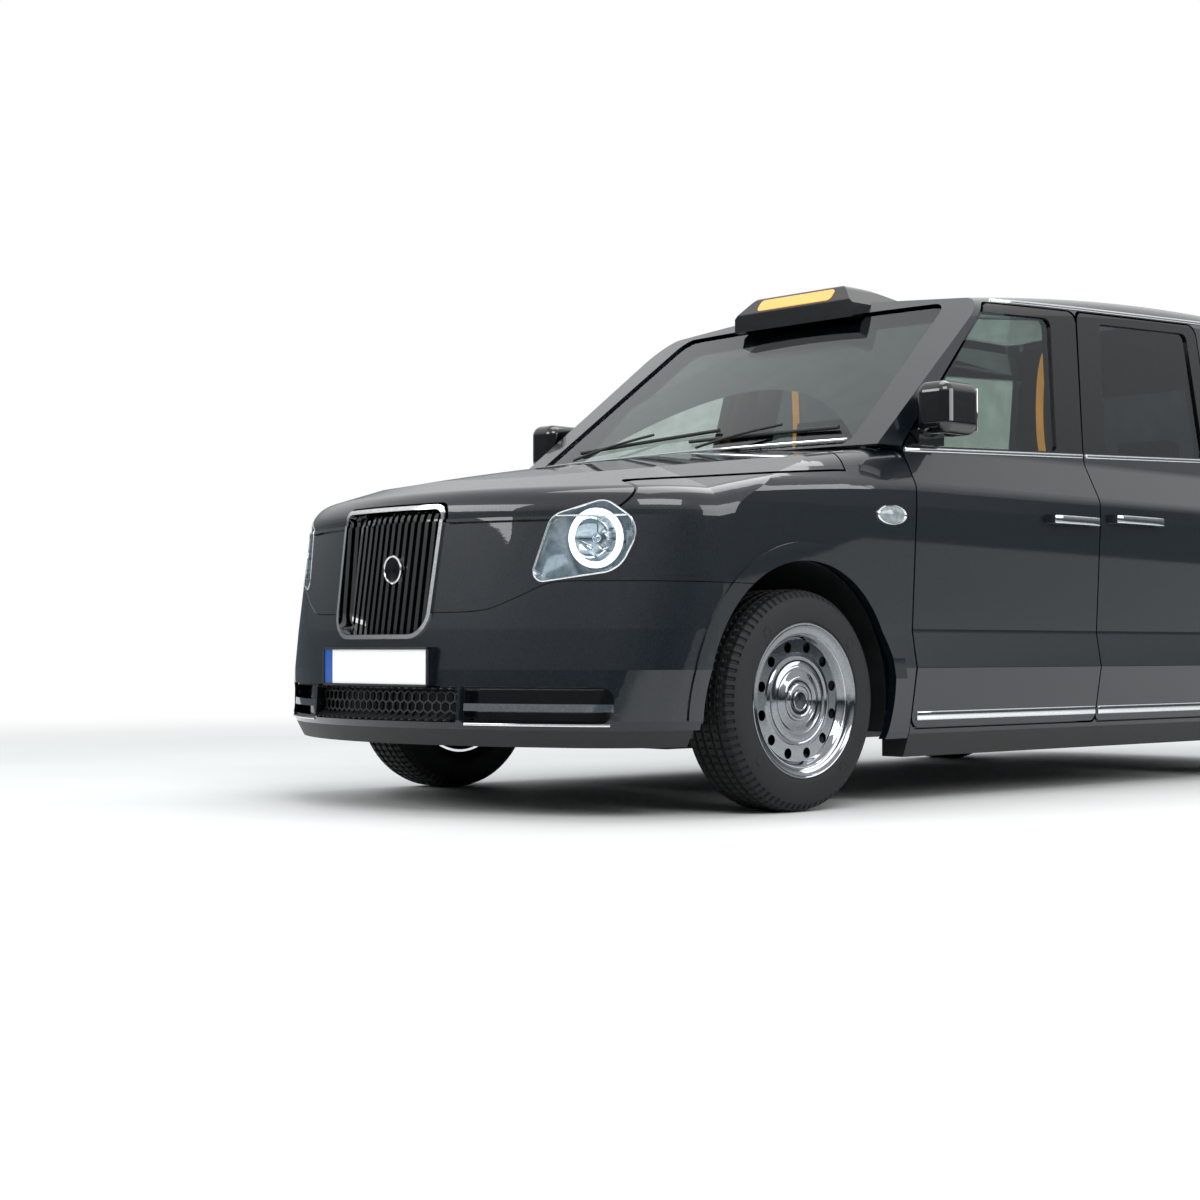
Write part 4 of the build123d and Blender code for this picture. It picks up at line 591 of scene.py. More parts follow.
# -------- wheels
# Places across the tyre from its middle, in metres
TREAD_GROOVES = (-0.050, -0.018, 0.018, 0.050)
TREAD_BLOCKS = ((-0.001, 0.012), (0.024, 0.044), (0.056, 0.099))
TREAD_RADIUS, TREAD_CROWN, TREAD_FOOT = 0.3430, 0.18, 0.325
GROOVE_TOP, GROOVE_FOOT, GROOVE_DEPTH = 0.0050, 0.0035, 0.008
# Offset and radius from the bead to the shoulder
TYRE_HALF = (
    (0.0635, 0.2143), (0.0800, 0.2160), (0.0925, 0.2230), (0.1000, 0.2330), (0.1045, 0.2420), (0.1062, 0.2430),
    (0.1072, 0.2450), (0.1075, 0.2590), (0.1080, 0.2780), (0.1055, 0.3010), (0.1010, 0.3180), (0.0835, 0.3370),
    (0.0655, 0.3422),
)
TYRE_SEGMENTS = 160
# Four round marks on the tyre's side: distance from the axle, offset, turn of the first, and the mark's rows
MARK_RADIUS, MARK_X, MARK_TURN = 0.272, 0.1070, 0.7
MARK = ((0.0, 0.0165), (0.0016, 0.0165), (0.0016, 0.0150), (0.0008, 0.0145), (0.0008, 0.0001))
# Wheel trim, rows of (distance from the car's middle, radius): rolled outer ring, stepped dome, plain centre
TRIM_RING = (
    (0.9185, 0.2385), (0.9225, 0.2385), (0.9240, 0.2360), (0.9230, 0.2330), (0.9180, 0.2295), (0.9140, 0.2230),
    (0.9125, 0.2150), (0.9115, 0.2090), (0.9055, 0.2000), (0.8985, 0.1950), (0.8915, 0.1905), (0.8890, 0.1885),
)
TRIM_DOME = (
    (0.8880, 0.1495), (0.8890, 0.1400), (0.8930, 0.1365), (0.8950, 0.1325), (0.8940, 0.1280), (0.8915, 0.1250),
    (0.8915, 0.1150), (0.8950, 0.1080), (0.8965, 0.1030), (0.8945, 0.0980), (0.8925, 0.0950), (0.8955, 0.0870),
    (0.9010, 0.0780), (0.9030, 0.0720), (0.9005, 0.0660), (0.8970, 0.0620), (0.8975, 0.0560), (0.9020, 0.0530),
    (0.9035, 0.0490), (0.9020, 0.0450), (0.8985, 0.0430), (0.8980, 0.0340), (0.9030, 0.0325), (0.9045, 0.0290),
    (0.9030, 0.0255), (0.8990, 0.0245), (0.8990, 0.0001),
)
WHEEL_ROUNDEL = ((0.8992, 0.0244), (0.9004, 0.0238), (0.9008, 0.0001))
TRIM_WALL = 0.0012
DISC_X, DISC_WALL, DISC_RADII = 0.8870, 0.004, (0.1885, 0.1495)
TRIM_HOLES, HOLE_CIRCLE, HOLE_RADIUS = 12, 0.1680, 0.0165


def tyre(name, side, axle_y, body):
    """Tyre with four tread grooves, shoulder blocks and a step round its bead."""
    rows = [(-out, radius) for out, radius in TYRE_HALF]
    for x in TREAD_GROOVES:
        top = TREAD_RADIUS - TREAD_CROWN * x * x
        foot = top - GROOVE_DEPTH
        rows += [(x - GROOVE_TOP, top), (x - GROOVE_FOOT, foot), (x + GROOVE_FOOT, foot), (x + GROOVE_TOP, top)]
    rows += reversed(TYRE_HALF)
    piece = turned(rows, (side * WHEEL_X, axle_y, AXLE_Z), TYRE_SEGMENTS)

    def every_second_block(centre, normal):
        out, along, up = abs(centre.x - side * WHEEL_X), centre.y - axle_y, centre.z - AXLE_Z
        if math.hypot(up, along) <= TREAD_FOOT or not any(low < out < high for low, high in TREAD_BLOCKS):
            return False
        return int((math.atan2(up, along) + math.pi) * TYRE_SEGMENTS / math.tau) % 2 == 0

    edit_picked(piece, every_second_block)
    bpy.ops.mesh.inset(thickness=0.0038, depth=-0.005, use_individual=True)
    edit_done()
    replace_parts(piece, name)
    return set_down(piece, f"{name}_tread", rubber, body, 30)


def on_wheel(name, rows, side, centre, finish, body, segments=96, wall=None):
    """A turned piece of a wheel, with a wall where it is sheet metal."""
    piece = turned([(side * out, radius) for out, radius in rows], centre, segments)
    if wall:
        changed(piece, "SOLIDIFY", thickness=wall, offset=-1.0)
    return set_down(piece, name, finish, body)


def holed_disc(name, side, axle_y, body):
    """Flat ring of the wheel trim with its row of round holes, filled between circles drawn in one plane."""
    nothing_selected()
    bpy.context.tool_settings.mesh_select_mode = (True, False, False)
    x = side * DISC_X
    outer, inner = DISC_RADII
    bpy.ops.mesh.primitive_circle_add(vertices=96, radius=outer, location=(x, axle_y, AXLE_Z), rotation=TURNS["X"])
    piece = bpy.context.object
    apply_place()
    bpy.ops.object.mode_set(mode="EDIT")
    bpy.ops.mesh.primitive_circle_add(vertices=96, radius=inner, location=(x, axle_y, AXLE_Z), rotation=TURNS["X"])
    for k in range(TRIM_HOLES):
        angle = math.tau * (k + 0.5) / TRIM_HOLES
        place = (x, axle_y + HOLE_CIRCLE * math.cos(angle), AXLE_Z + HOLE_CIRCLE * math.sin(angle))
        bpy.ops.mesh.primitive_circle_add(vertices=24, radius=HOLE_RADIUS, location=place, rotation=TURNS["X"])
    bpy.ops.mesh.select_all(action="SELECT")
    bpy.ops.mesh.fill(use_beauty=True)
    bpy.ops.mesh.select_all(action="SELECT")
    bpy.ops.mesh.normals_make_consistent(inside=False)
    edit_done()
    changed(piece, "SOLIDIFY", thickness=DISC_WALL, offset=0.0)
    return set_down(piece, name, cap_chrome, body)


for place, axle_y in (("front", FRONT_AXLE_Y), ("rear", REAR_AXLE_Y)):
    for side_name, side in SIDES:
        wheel, hub = f"{place}_{side_name}", (0, axle_y, AXLE_Z)
        body = f"wheel_{wheel}"
        tyre(f"tyre_{wheel}", side, axle_y, body)
        on_wheel(f"trim_ring_{wheel}", TRIM_RING, side, hub, cap_chrome, body, wall=TRIM_WALL)
        holed_disc(f"trim_disc_{wheel}", side, axle_y, body)
        on_wheel(f"trim_dome_{wheel}", TRIM_DOME, side, hub, cap_chrome, body, wall=TRIM_WALL)
        on_wheel(f"wheel_roundel_{wheel}", WHEEL_ROUNDEL, side, hub, piano_black, body, 48)
        for k in range(4):
            turn, x = MARK_TURN + k * math.pi / 2, side * (WHEEL_X + MARK_X)
            at = (x, axle_y + MARK_RADIUS * math.cos(turn), AXLE_Z + MARK_RADIUS * math.sin(turn))
            on_wheel(f"tyre_mark_{wheel}_{k + 1}", MARK, side, at, rubber, body, 32)


# -------- lamps
LAMP_RING = (0.680, -2.120, 0.828)
LAMP_TURN = math.radians(20)
# A face of the lamp that looks forwards and outwards by more than this belongs to its clear cover
COVER_SHARE = 0.35
# Turned parts that look along -Y: name, finish, segments, and rows of (place along Y, radius)
LAMP_PARTS = (
    ("light_ring", white_light, 80, (
        (0.004, 0.0700), (-0.004, 0.0715), (-0.008, 0.0760), (-0.0085, 0.0810), (-0.006, 0.0860), (0.0, 0.0890),
        (0.006, 0.0890),
    )),
    ("ring_holder", satin, 80, ((0.006, 0.0890), (0.012, 0.0935), (0.018, 0.0935))),
    ("reflector", bright, 64, (
        (0.004, 0.0700), (0.012, 0.0640), (0.026, 0.0480), (0.036, 0.0300), (0.040, 0.0150), (0.041, 0.0001),
    )),
    ("bulb_shield", satin, 32, (
        (0.040, 0.0170), (0.014, 0.0170), (0.006, 0.0150), (0.001, 0.0100), (-0.002, 0.0001),
    )),
)
# Webs between bulb shield and light ring: turns in degrees, distance from the middle and place along Y
WEB_TURNS, WEB_RADIUS, WEB_Y = (90, 205, 330), 0.041, 0.014
WEB_SIZES, WEB_DEPTH = (0.050, 0.004), 0.006


def aimed(piece, side):
    """Turns a piece that looks along -Y outwards by the lamp's angle and sets it at the lamp's place."""
    hold(piece)
    edit_all()
    bpy.ops.transform.rotate(value=side * -LAMP_TURN, orient_axis="Z", center_override=(0, 0, 0))
    bpy.ops.transform.translate(value=(side * LAMP_RING[0], LAMP_RING[1], LAMP_RING[2]))
    edit_done()
    return piece


def headlamp(name, side):
    """Clear cover with a bright outline, housing, light ring, reflector and webs of a headlamp."""
    outwards = Vector((0.707 * side, -0.707, 0))

    def in_front(centre, normal):
        return normal.dot(outwards) > COVER_SHARE and centre.x * side > 0

    def behind(centre, normal):
        return normal.dot(outwards) <= COVER_SHARE and centre.x * side > 0

    cover = skin_of("headlamps", in_front)
    set_down(outline(cover, 0.0026), f"lamp_outline_{name}", bright)
    changed(cover, "SOLIDIFY", thickness=0.003, offset=-1.0)
    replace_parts(cover, "headlamps")
    set_down(cover, f"lamp_cover_{name}", lamp_cover, angle=30)
    housing = changed(skin_of("headlamps", behind), "SOLIDIFY", thickness=0.0015, offset=-1.0)
    set_down(housing, f"lamp_housing_{name}", pale_satin, angle=30)
    for part, finish, segments, rows in LAMP_PARTS:
        set_down(aimed(turned(rows, (0, 0, 0), segments, "Y"), side), f"{part}_{name}", finish)
    for k, degrees in enumerate(WEB_TURNS):
        turn = math.radians(degrees)
        web = drawn([(0.0, 0.0, 0.0), (0.0, WEB_DEPTH, 0.0)], WEB_SIZES, "Y")
        hold(web)
        edit_all()
        bpy.ops.transform.rotate(value=-turn, orient_axis="Y", center_override=(0, 0, 0))
        bpy.ops.transform.translate(value=(WEB_RADIUS * math.cos(turn), WEB_Y, WEB_RADIUS * math.sin(turn)))
        edit_done()
        set_down(aimed(web, side), f"reflector_web_{name}_{k + 1}", satin)


for side_name, side in SIDES:
    headlamp(side_name, side)


# -------- front
# Dashes of the grille: first place, size, and number and pitch in a row and of the rows
DASH_START, DASH_SIZE = (-0.2028, -2.44, 0.560), (0.0085, 0.0095)
DASH_ROWS = ((14, (0.0312, 0, 0)), (21, (0, 0, 0.0172)))
GRILLE_FRONT, GRILLE_BACK = -2.42, -2.20
# Hexagon mesh of the middle intake
MESH_X, MESH_LOW_Z, MESH_HIGH_Z = 0.343, 0.289, 0.384
MESH_PITCH, MESH_WALL, MESH_STAND_OFF = 0.0330, 0.0050, 0.020
MESH_START_Y = -2.46
ROUNDEL = (0, -2.334, 0.747)
ROUNDEL_RIM = (
    (0.006, 0.040), (-0.006, 0.045), (-0.012, 0.0445), (-0.0145, 0.042), (-0.0140, 0.039), (-0.0115, 0.0375),
    (-0.0115, 0.0001),
)
ROUNDEL_FACE = ((-0.0114, 0.0374), (-0.0122, 0.0370), (-0.0135, 0.0001))


def dashes():
    """Short bars in rows between the slats of the grille, seated on its back plate."""
    nothing_selected()
    bpy.ops.mesh.primitive_plane_add(size=1, location=DASH_START, rotation=TURNS["Y"])
    piece = bpy.context.object
    piece.scale = (*DASH_SIZE, 1)
    apply_place()
    for count, step in DASH_ROWS:
        repeated(piece, count, step)
    laid_back(piece, "grille_inserts")
    # bars that met a slat's side, or nothing, go
    picked(piece, lambda centre, normal: GRILLE_FRONT < centre.y < GRILLE_BACK and abs(normal.y) > 0.95)
    changed(piece, "SOLIDIFY", thickness=0.007, offset=1.0)
    return set_down(piece, "grille_dashes", piano_black)


def middle_mesh():
    """Hexagon mesh across the middle intake, bowed like the plate behind it."""
    nothing_selected()
    radius = MESH_PITCH / math.sqrt(3)
    start = (-MESH_X, MESH_START_Y, MESH_LOW_Z - radius)
    bpy.ops.mesh.primitive_circle_add(vertices=6, radius=radius, fill_type="NGON", location=start, rotation=TURNS["Y"])
    piece = bpy.context.object
    apply_place()
    bpy.context.tool_settings.mesh_select_mode = (False, False, True)
    edit_all()
    bpy.ops.mesh.inset(thickness=MESH_WALL / 2)
    bpy.ops.mesh.delete(type="FACE")
    edit_done()
    repeated(piece, int(2 * MESH_X / MESH_PITCH) + 2, (MESH_PITCH, 0, 0))
    repeated(piece, 2, (MESH_PITCH / 2, 0, radius * 1.5))
    repeated(piece, int((MESH_HIGH_Z - MESH_LOW_Z) / (radius * 3)) + 2, (0, 0, radius * 3))
    edit_all()
    bpy.ops.mesh.remove_doubles(threshold=1e-4)
    for place, way in (
        ((-MESH_X, 0, 0), (-1, 0, 0)), ((MESH_X, 0, 0), (1, 0, 0)),
        ((0, 0, MESH_LOW_Z), (0, 0, -1)), ((0, 0, MESH_HIGH_Z), (0, 0, 1)),
    ):
        bpy.ops.mesh.select_all(action="SELECT")
        bpy.ops.mesh.bisect(plane_co=place, plane_no=way, clear_outer=True)
    edit_done()
    laid_back(piece, "grille_inserts", MESH_STAND_OFF)
    changed(piece, "SOLIDIFY", thickness=0.004, offset=0.0)
    return set_down(piece, "middle_mesh", black_plastic)


dashes()
# plain roundel on the grille: chrome rim round a black face
set_down(turned(ROUNDEL_RIM, ROUNDEL, 64, "Y"), "roundel_rim", bright)
set_down(turned(ROUNDEL_FACE, ROUNDEL, 64, "Y"), "roundel_face", piano_black)
middle_mesh()


# -------- bright strips and side trim
# Sections are (across the car, upright)
BELT_SECTION, BELT_DROP, BELT_PROUD = (0.011, 0.015), 0.004, 0.0015
SILL_SECTION, SILL_Z, SILL_PROUD = (0.010, 0.030), 0.284, 0.002
DOOR_PITCH, QUARTER_PITCH = 0.13, 0.10
HANDLE_SECTION, HANDLE_END, HANDLE_PITCH, HANDLE_PROUD_X = (0.009, 0.030), 0.022, 0.05, 0.956
HANDLE_LOW_Z, HANDLE_SCAN, HANDLE_SCANS = 0.920, 0.002, 40
RAIL_SECTION, RAIL_RISE, RAIL_LEAST_X, RAIL_PROUD = (0.012, 0.014), 0.013, 0.735, 0.002
REPEATER_Y, REPEATER_Z, REPEATER_SHAPE = -1.057, 0.931, (1, 1.7, 0.72)
REPEATER_PARTS = (
    ("repeater_rim", bright, (
        (-0.004, 0.044), (0.004, 0.044), (0.0065, 0.0405), (0.0045, 0.0380), (0.0030, 0.0375),
    )),
    ("repeater_lens", pale_satin, ((0.0030, 0.0376), (0.0075, 0.0320), (0.0100, 0.0180), (0.0108, 0.0001))),
)
MIRROR_X, MIRROR_HALF, MIRROR_Z = 0.951, 0.052, (1.222, 1.362)


def strip(name, node, rows, section, proud, body, side):
    """A chrome strip laid on the side of a solid along rows of (distance along, height)."""
    points = [(side_meeting(node, side, y, z).x + side * proud, y, z) for y, z in rows]
    bright_bar(name, points, section, "Y", 0.0042, body)


def handle_line(node, side, low_y, high_y):
    """Points along the outside of a door's pull handle, which rises a little towards the back."""
    points = []
    for y in steps(low_y + HANDLE_END, high_y - HANDLE_END, HANDLE_PITCH):
        places = [side_meeting(node, side, y, HANDLE_LOW_Z + HANDLE_SCAN * k) for k in range(HANDLE_SCANS)]
        proud = [place for place in places if abs(place.x) > HANDLE_PROUD_X]
        middle = sum(place.z for place in proud) / len(proud)
        points.append((side * (max(abs(place.x) for place in proud) - 0.0030), y, middle))
    return points


def side_strips(side_name, side):
    """Belt and sill strips and the covers of the pull handles."""
    front, rear = f"door_front_{side_name}", f"door_rear_{side_name}"
    for name, node, body, low_y, high_y, pitch in (
        (front, front, front, -0.918, 0.118, DOOR_PITCH),
        (rear, rear, rear, 0.138, 1.030, DOOR_PITCH),
        (f"quarter_{side_name}", "body_shell", "body", 1.048, 2.060, QUARTER_PITCH),
    ):
        rows = [(y, belt_z(y) - BELT_DROP) for y in steps(low_y, high_y, pitch)]
        strip(f"belt_strip_{name}", node, rows, BELT_SECTION, BELT_PROUD, body, side)
    for door, low_y, high_y in ((front, -0.905, 0.118), (rear, 0.138, 0.985)):
        rows = [(y, SILL_Z) for y in steps(low_y, high_y, DOOR_PITCH)]
        strip(f"sill_strip_{door}", door, rows, SILL_SECTION, SILL_PROUD, door, side)
    for place, door, low_y, high_y in (("front", front, -0.217, 0.104), ("rear", rear, 0.170, 0.525)):
        line = handle_line(door, side, low_y, high_y)
        bright_bar(f"handle_cover_{place}_{side_name}", line, HANDLE_SECTION, "Y", 0.0040, door)


def rail_strip(side_name, side):
    """Chrome strip along the gutter over the doors, where the shell stands far enough out."""
    points = []
    for y in steps(-0.270, 2.030, 0.10):
        z = rail_z(y) + RAIL_RISE
        found, place, _, _ = nodes["body_shell"].ray_cast(Vector((side * BESIDE, y, z)), Vector((-side, 0, 0)))
        if found and abs(place.x) > RAIL_LEAST_X:
            points.append((place.x + side * RAIL_PROUD, y, z))
    bright_bar(f"rail_strip_{side_name}", points, RAIL_SECTION, "Y", 0.0050)


def repeater(side_name, side):
    """Oval side repeater lamp on the front wing with a bright rim."""
    at = side_meeting("front_wings", side, REPEATER_Y, REPEATER_Z)
    for name, finish, rows in REPEATER_PARTS:
        piece = turned([(side * out, radius) for out, radius in rows], at, 48)
        edit_all()
        bpy.ops.transform.resize(value=REPEATER_SHAPE, center_override=at)
        edit_done()
        set_down(piece, f"{name}_{side_name}", finish)


def mirror_glass(side_name, side):
    """Mirror glass on the back of the mirror's head."""
    face_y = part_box(f"mirror_{side_name}")[1][1]
    low = (side * MIRROR_X - MIRROR_HALF, face_y - 0.0020, MIRROR_Z[0])
    high = (side * MIRROR_X + MIRROR_HALF, face_y + 0.0015, MIRROR_Z[1])
    hard(f"mirror_glass_{side_name}", low, high, bright, 0.0014, f"door_front_{side_name}", 2)


for side_name, side in SIDES:
    side_strips(side_name, side)
    rail_strip(side_name, side)
    repeater(side_name, side)
    mirror_glass(side_name, side)


# -------- screen
WIPER_FOOT_Z = 1.190
# Forward and upward parts of the windscreen's normal
SCREEN_FORWARD, SCREEN_UP = 0.78, 0.62
# Wipers: name, x of the pivot, tip of the arm, and the blade's two ends, each as (x, z)
WIPERS = (
    ("wiper_driver", -0.56, (-0.20, 1.262), (-0.58, 1.228), (0.12, 1.262)),
    ("wiper_near", 0.10, (0.42, 1.252), (0.02, 1.226), (0.66, 1.232)),
)


def screen_point(x, z, proud):
    """Point in front of the windscreen, along its slope's normal."""
    place = meeting("fixed_glass", (x, AHEAD_OF_SCREEN, z), (0, 1, 0))
    return Vector((x, place.y - proud * SCREEN_FORWARD, z + proud * SCREEN_UP))


for name, pivot_x, tip, blade_low, blade_high in WIPERS:
    arm = [
        screen_point(pivot_x, WIPER_FOOT_Z, 0.020),
        screen_point((pivot_x + tip[0]) / 2, (WIPER_FOOT_Z + tip[1]) / 2, 0.034),
        screen_point(*tip, 0.022),
    ]
    rod(arm, 0.0048, f"{name}_arm", black_plastic)
    middle = [(a + b) / 2 for a, b in zip(blade_low, blade_high)]
    blade = [screen_point(*blade_low, 0.010), screen_point(*middle, 0.011), screen_point(*blade_high, 0.010)]
    rod(blade, 0.0065, f"{name}_blade", black_plastic)


# -------- cabin
# Width between edge and seam, and swelling, of a cushion, a head restraint and a tip-up seat
CUSHION, HEAD, TIP_UP = (0.030, 0.014), (0.022, 0.010), (0.024, 0.008)
SEAM_WIDTH, SEAM_DEPTH = 0.006, 0.004
DRIVER_X = -0.37
BENCH_X = (-0.405, 0.0, 0.405)
TIP_UP_X = (-0.540, 0.0, 0.540)


def cushion(name, x, half, low, high, tilt=0, padding=CUSHION):
    """
    Padded block centred on x between two corners of (distance along, height), leaned by degrees.
    Each face is inset for its seam, its middle swollen, and the whole smoothed by subdivision.
    """
    low, high = (x - half, *low), (x + half, *high)
    piece = block(low, high)
    middle = [(a + b) / 2 for a, b in zip(low, high)]
    inset, swell = padding
    bpy.context.tool_settings.mesh_select_mode = (False, False, True)
    edit_all()
    bpy.ops.mesh.inset(thickness=inset, depth=0.0, use_individual=True)
    bpy.ops.mesh.inset(thickness=SEAM_WIDTH, depth=-SEAM_DEPTH, use_individual=True)
    bpy.ops.mesh.inset(thickness=inset, depth=swell, use_individual=True)
    bpy.ops.mesh.select_all(action="SELECT")
    bpy.ops.transform.rotate(value=-math.radians(tilt), orient_axis="X", center_override=middle)
    edit_done()
    changed(piece, "BEVEL", width=0.016, segments=2, limit_method="ANGLE", angle_limit=math.radians(60))
    changed(piece, "SUBSURF", levels=2, render_levels=2)
    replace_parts(piece, "seats")
    set_down(piece, name, cloth, angle=60)


def driver_place():
    """Driver's seat on the car's right."""
    x = DRIVER_X
    cushion("driver_cushion", x, 0.26, (-0.470, 0.570), (0.020, 0.705), 3)
    cushion("driver_back", x, 0.25, (0.030, 0.650), (0.145, 1.225), -11)
    cushion("driver_head_restraint", x, 0.135, (0.118, 1.272), (0.212, 1.420), -8, HEAD)
    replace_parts(hard("driver_plinth", (x - 0.19, -0.42, 0.3455), (x + 0.19, -0.02, 0.575), steel), "seats")
    for side_name, side in reversed(SIDES):
        post = [(x + side * 0.05, 0.150, 1.195), (x + side * 0.05, 0.163, 1.300)]
        rod(post, 0.006, f"head_post_{side_name}", bright)


def rear_places():
    """Rear bench for three with its head restraints, and three tip-up seats."""
    for k, x in enumerate(BENCH_X, 1):
        cushion(f"bench_cushion_{k}", x, 0.200, (1.255, 0.625), (1.795, 0.775), 3)
        cushion(f"bench_back_{k}", x, 0.200, (1.795, 0.700), (1.912, 1.280), -13)
        cushion(f"bench_head_restraint_{k}", x, 0.130, (1.893, 1.285), (1.985, 1.430), -8, HEAD)
    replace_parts(hard("bench_base", (-0.585, 1.335, 0.3455), (0.585, 1.76, 0.625), trim_plastic), "seats")
    for k, x in enumerate(TIP_UP_X, 1):
        cushion(f"tip_up_cushion_{k}", x, 0.195, (0.305, 0.570), (0.378, 0.990), 0, TIP_UP)
        back = hard(f"tip_up_back_{k}", (x - 0.200, 0.2925, 0.562), (x + 0.200, 0.310, 1.078), trim_plastic)
        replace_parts(back, "seats")


# Air outlets on the dashboard: (x, z)
OUTLETS = ((-0.72, 0.98), (-0.02, 0.915), (0.40, 0.98), (0.72, 0.98))


def dash_details():
    """Instrument binnacle, middle screen and air outlets on the dashboard."""
    hard("instrument_binnacle", (-0.53, -0.775, 1.050), (-0.21, -0.665, 1.128), trim_plastic, 0.02)
    hard("middle_screen", (-0.12, -0.690, 0.955), (0.12, -0.662, 1.120), piano_black, 0.006)
    for k, (x, z) in enumerate(OUTLETS, 1):
        at = meeting("cabin_trims", (x, -0.3, z), (0, -1, 0))
        low, high = at - Vector((0.055, 0.010, 0.026)), at + Vector((0.055, 0.004, 0.026))
        hard(f"air_outlet_{k}", low, high, piano_black, 0.004)


def grab_rails():
    """Orange grab rails beside the rear doors, in the sign's lens finish, whose emission makes them glow: a painted
    glow, as the rails are no lamp.
    """
    for side_name, side in SIDES:
        bends = ((0.640, 0.255, 1.180), (0.615, 0.235, 1.200), (0.600, 0.235, 1.400), (0.615, 0.240, 1.600),
                 (0.630, 0.258, 1.620))
        rod([(side * x, y, z) for x, y, z in bends], 0.014, f"grab_rail_{side_name}", orange_lens)


driver_place()
rear_places()
dash_details()
grab_rails()


# -------- back
def rear_details():
    """High brake light, tailgate handle bar and rear wiper."""
    y = meeting("tailgate", (0.0, BEHIND, 1.720), (0, -1, 0)).y
    hard("high_brake_light", (-0.16, y - 0.010, 1.708), (0.16, y + 0.004, 1.732), red_lens, 0.003, "tailgate")
    y = meeting("tailgate", (0.0, BEHIND, 0.860), (0, -1, 0)).y
    hard("tailgate_handle", (-0.30, y - 0.006, 0.848), (0.30, y + 0.012, 0.872), bright, 0.005, "tailgate")
    ends = [meeting("tailgate_glass", (x, BEHIND, z), (0, -1, 0)) for x, z in ((0.02, 1.330), (-0.36, 1.420))]
    rod([(end.x, end.y + 0.012, end.z) for end in ends], 0.006, "rear_wiper", black_plastic, "tailgate")


def tail_rims():
    """Bright outline round each tail lamp."""
    for side_name, side in SIDES:
        skin = skin_of("tail_lamps", lambda centre, normal: normal.y > 0.25 and centre.x * side > 0)
        edge = outline(skin, 0.0022)
        bpy.data.objects.remove(skin)
        set_down(edge, f"tail_outline_{side_name}", bright)


# How far a plate's frame reaches outwards, over the plate, and to both sides of its face
FRAME_OUT, FRAME_LAP, FRAME_HALF_DEPTH = 0.004, 0.003, 0.0045


def plate_frames():
    """Thin black frame round each blank number plate."""
    for place, body, corner in (("front", "body", 0), ("rear", "tailgate", 1)):
        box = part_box(f"number_plate_{place}")
        (low_x, _, foot), (high_x, _, top) = box
        face = box[corner][1]
        for name, (x0, x1), (z0, z1) in (
            ("top", (low_x - FRAME_OUT, high_x + FRAME_OUT), (top - FRAME_LAP, top + FRAME_OUT)),
            ("foot", (low_x - FRAME_OUT, high_x + FRAME_OUT), (foot - FRAME_OUT, foot + FRAME_LAP)),
            ("left", (high_x - FRAME_LAP, high_x + FRAME_OUT), (foot - FRAME_OUT, top + FRAME_OUT)),
            ("right", (low_x - FRAME_OUT, low_x + FRAME_LAP), (foot - FRAME_OUT, top + FRAME_OUT)),
        ):
            low, high = (x0, face - FRAME_HALF_DEPTH, z0), (x1, face + FRAME_HALF_DEPTH, z1)
            hard(f"plate_frame_{place}_{name}", low, high, black_plastic, 0.0012, body, 2)


def front_strips():
    """Bright lower lip of the side intakes, and a bright line along the foot of the windscreen."""
    for side_name, side in SIDES:
        starts = [(side * x, AHEAD_OF_NOSE, 0.2785) for x in steps(0.375, 0.780, 0.045)]
        places = [meeting("front_bumper", start, (0, 1, 0)) for start in starts]
        line = [(place.x, place.y - 0.0015, place.z) for place in places]
        bright_bar(f"intake_lip_{side_name}", line, (0.006, 0.007), "X", 0.0012)
    places = [meeting("fixed_glass", (x, AHEAD_OF_SCREEN, 1.190), (0, 1, 0)) for x in steps(-0.735, 0.735, 0.105)]
    line = [(place.x, place.y - 0.012, 1.190) for place in places]
    bright_bar("screen_foot_strip", line, (0.006, 0.009), "X", 0.0012)


rear_details()
tail_rims()
plate_frames()
front_strips()


# -------- camera, floor and light
# The photograph's eye: place, tilt and turn in degrees, focal length and sensor width in mm
EYE, EYE_TILT, EYE_TURN = (5.193, -6.369, 0.498), 91.36, 46.6
FOCAL, SENSOR = 63.24, 36.0
# Area lamps: name, place, target, size and power
LAMPS = (
    ("key", (5.5, -4.5, 5.5), (0, -0.5, 0.6), (5, 3), 290),
    ("side", (7.0, 2.5, 3.0), (0.5, 0.5, 0.8), (6, 2.5), 190),
    ("front", (-2.5, -8.0, 4.0), (0, -2, 0.7), (5, 2.5), 220),
    ("top", (0, 0.5, 7.0), (0, 0, 1.5), (4, 7), 300),
)


def camera():
    """Camera at the photograph's place."""
    eye = bpy.data.cameras.new("camera")
    holder = bpy.data.objects.new("camera", eye)
    bpy.context.scene.collection.objects.link(holder)
    holder.location = EYE
    holder.rotation_euler = (math.radians(EYE_TILT), 0, math.radians(EYE_TURN))
    eye.lens, eye.sensor_width = FOCAL, SENSOR
    eye.clip_start, eye.clip_end = 0.1, 200
    bpy.context.scene.camera = holder


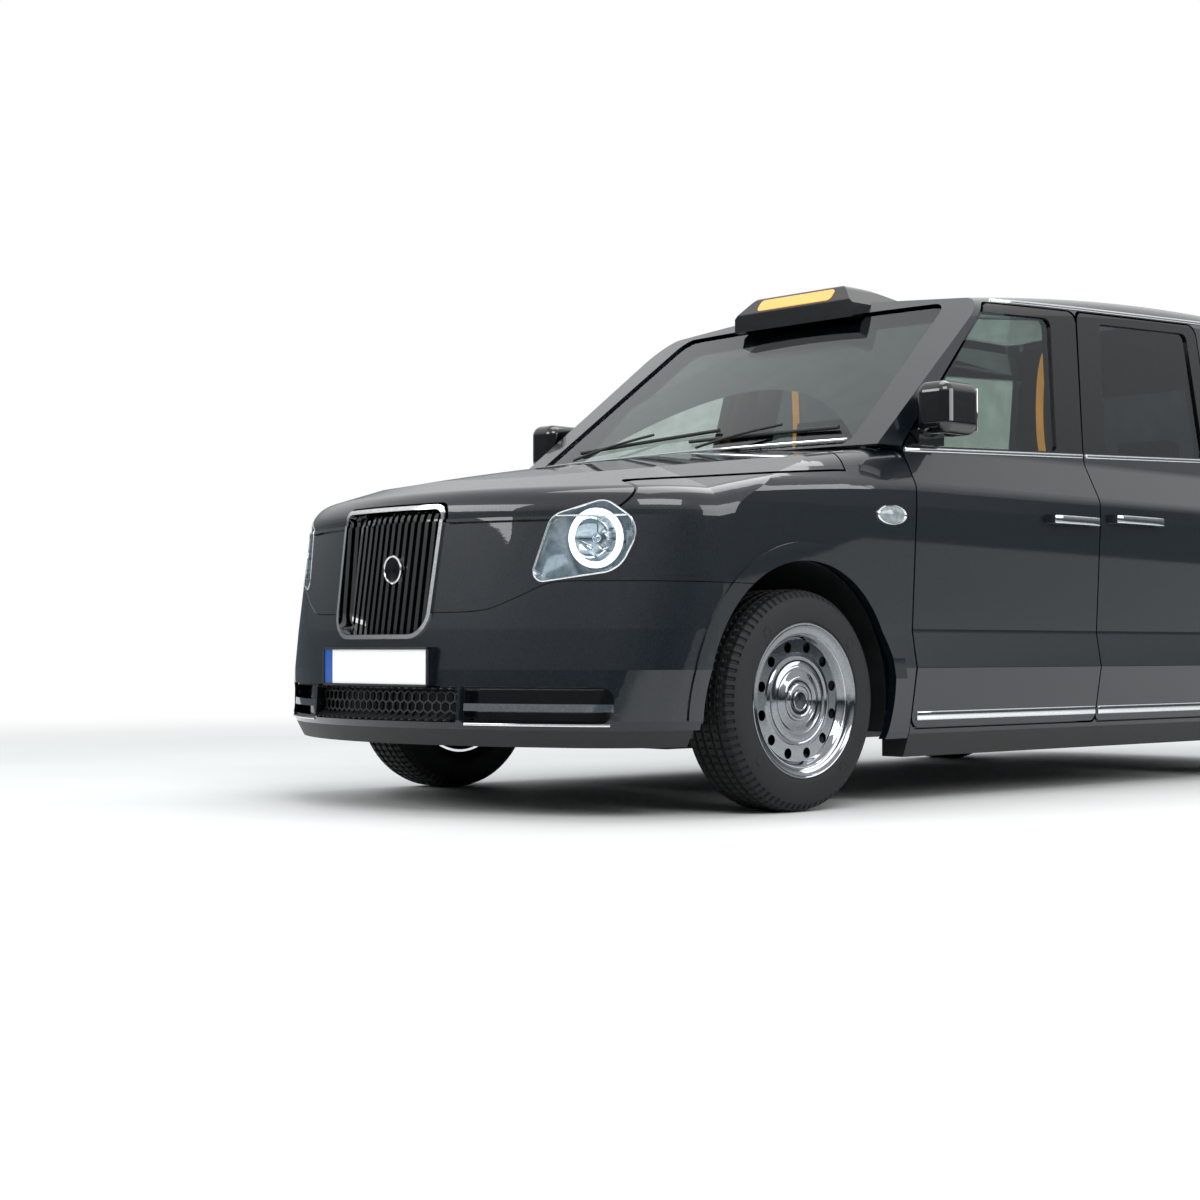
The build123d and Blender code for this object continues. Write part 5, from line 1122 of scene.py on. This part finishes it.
def floor():
    """Pale studio floor that turns white with distance, so that no horizon shows."""
    m, place = fresh("pale_studio_floor")
    patch = add(m, "TexNoise", {"Vector": place, "Scale": 0.7, "Detail": 4.0})
    shade = two_colours(m, patch, "#D6D6D4", "#DEDEDC", 0.3, 0.7)
    shader = add(m, "BsdfPrincipled", {"Base Color": shade, "Roughness": 0.6})
    length = add(m, "VectorMath", {0: place}, operation="LENGTH").outputs["Value"]
    far = add(m, "MapRange", {"Value": length, "From Min": 3.0, "From Max": 9.0},
              interpolation_type="SMOOTHSTEP")
    seen = add(m, "LightPath").outputs["Is Camera Ray"]
    amount = add(m, "Math", {0: far, 1: seen}, operation="MULTIPLY")
    glow = add(m, "Emission", {"Color": colour("#FFFFFF"), "Strength": 1.0})
    finish_material(m, add(m, "MixShader", {0: amount, 1: shader, 2: glow}))
    nothing_selected()
    bpy.ops.mesh.primitive_plane_add(size=120, location=(0, 0, 0))
    piece = bpy.context.object
    piece.name = "floor"
    piece.data.materials.append(m)


def surroundings():
    """White to the eye and through glass; a dim sky lights the car; metal and lacquer see white overhead."""
    world = bpy.data.worlds.new("studio")
    world.use_nodes = True
    bpy.context.scene.world = world
    world.node_tree.nodes.clear()
    way = add(world, "TexCoord").outputs["Generated"]
    height = add(world, "SeparateXYZ", {"Vector": way}).outputs["Z"]
    sky = two_colours(world, height, "#4A5156", "#E6EEF2", 0.02, 0.62)
    sky.color_ramp.elements.new(0.16).color = colour("#565E63")
    plain = add(world, "Background", {"Color": sky, "Strength": 1.0})
    white = add(world, "Background", {"Color": colour("#FFFFFF"), "Strength": 1.0})
    rays = add(world, "LightPath").outputs
    # mirrors see the white backdrop overhead and a darker band at the level of the car's sides
    rise = add(world, "MapRange", {"Value": height, "From Min": 0.06, "From Max": 0.5})
    mirrored = add(world, "Math", {0: rays["Is Glossy Ray"], 1: rise}, operation="MULTIPLY")
    direct = {0: rays["Is Camera Ray"], 1: rays["Is Transmission Ray"]}
    straight = add(world, "Math", direct, operation="MAXIMUM")
    amount = add(world, "Math", {0: straight, 1: mirrored}, operation="MAXIMUM")
    both = add(world, "MixShader", {0: amount, 1: plain, 2: white})
    add(world, "OutputWorld", {"Surface": both})


def lamps():
    """Soft area lamps, each turned towards its target."""
    for name, place, target, size, power in LAMPS:
        lamp = bpy.data.lights.new(name, "AREA")
        lamp.shape, lamp.size, lamp.size_y, lamp.energy = "RECTANGLE", size[0], size[1], power
        holder = bpy.data.objects.new(name, lamp)
        bpy.context.scene.collection.objects.link(holder)
        holder.location = place
        holder.rotation_euler = (Vector(target) - Vector(place)).to_track_quat("-Z", "Y").to_euler()


camera()
floor()
surroundings()
lamps()
bpy.context.scene.view_settings.view_transform = "Standard"
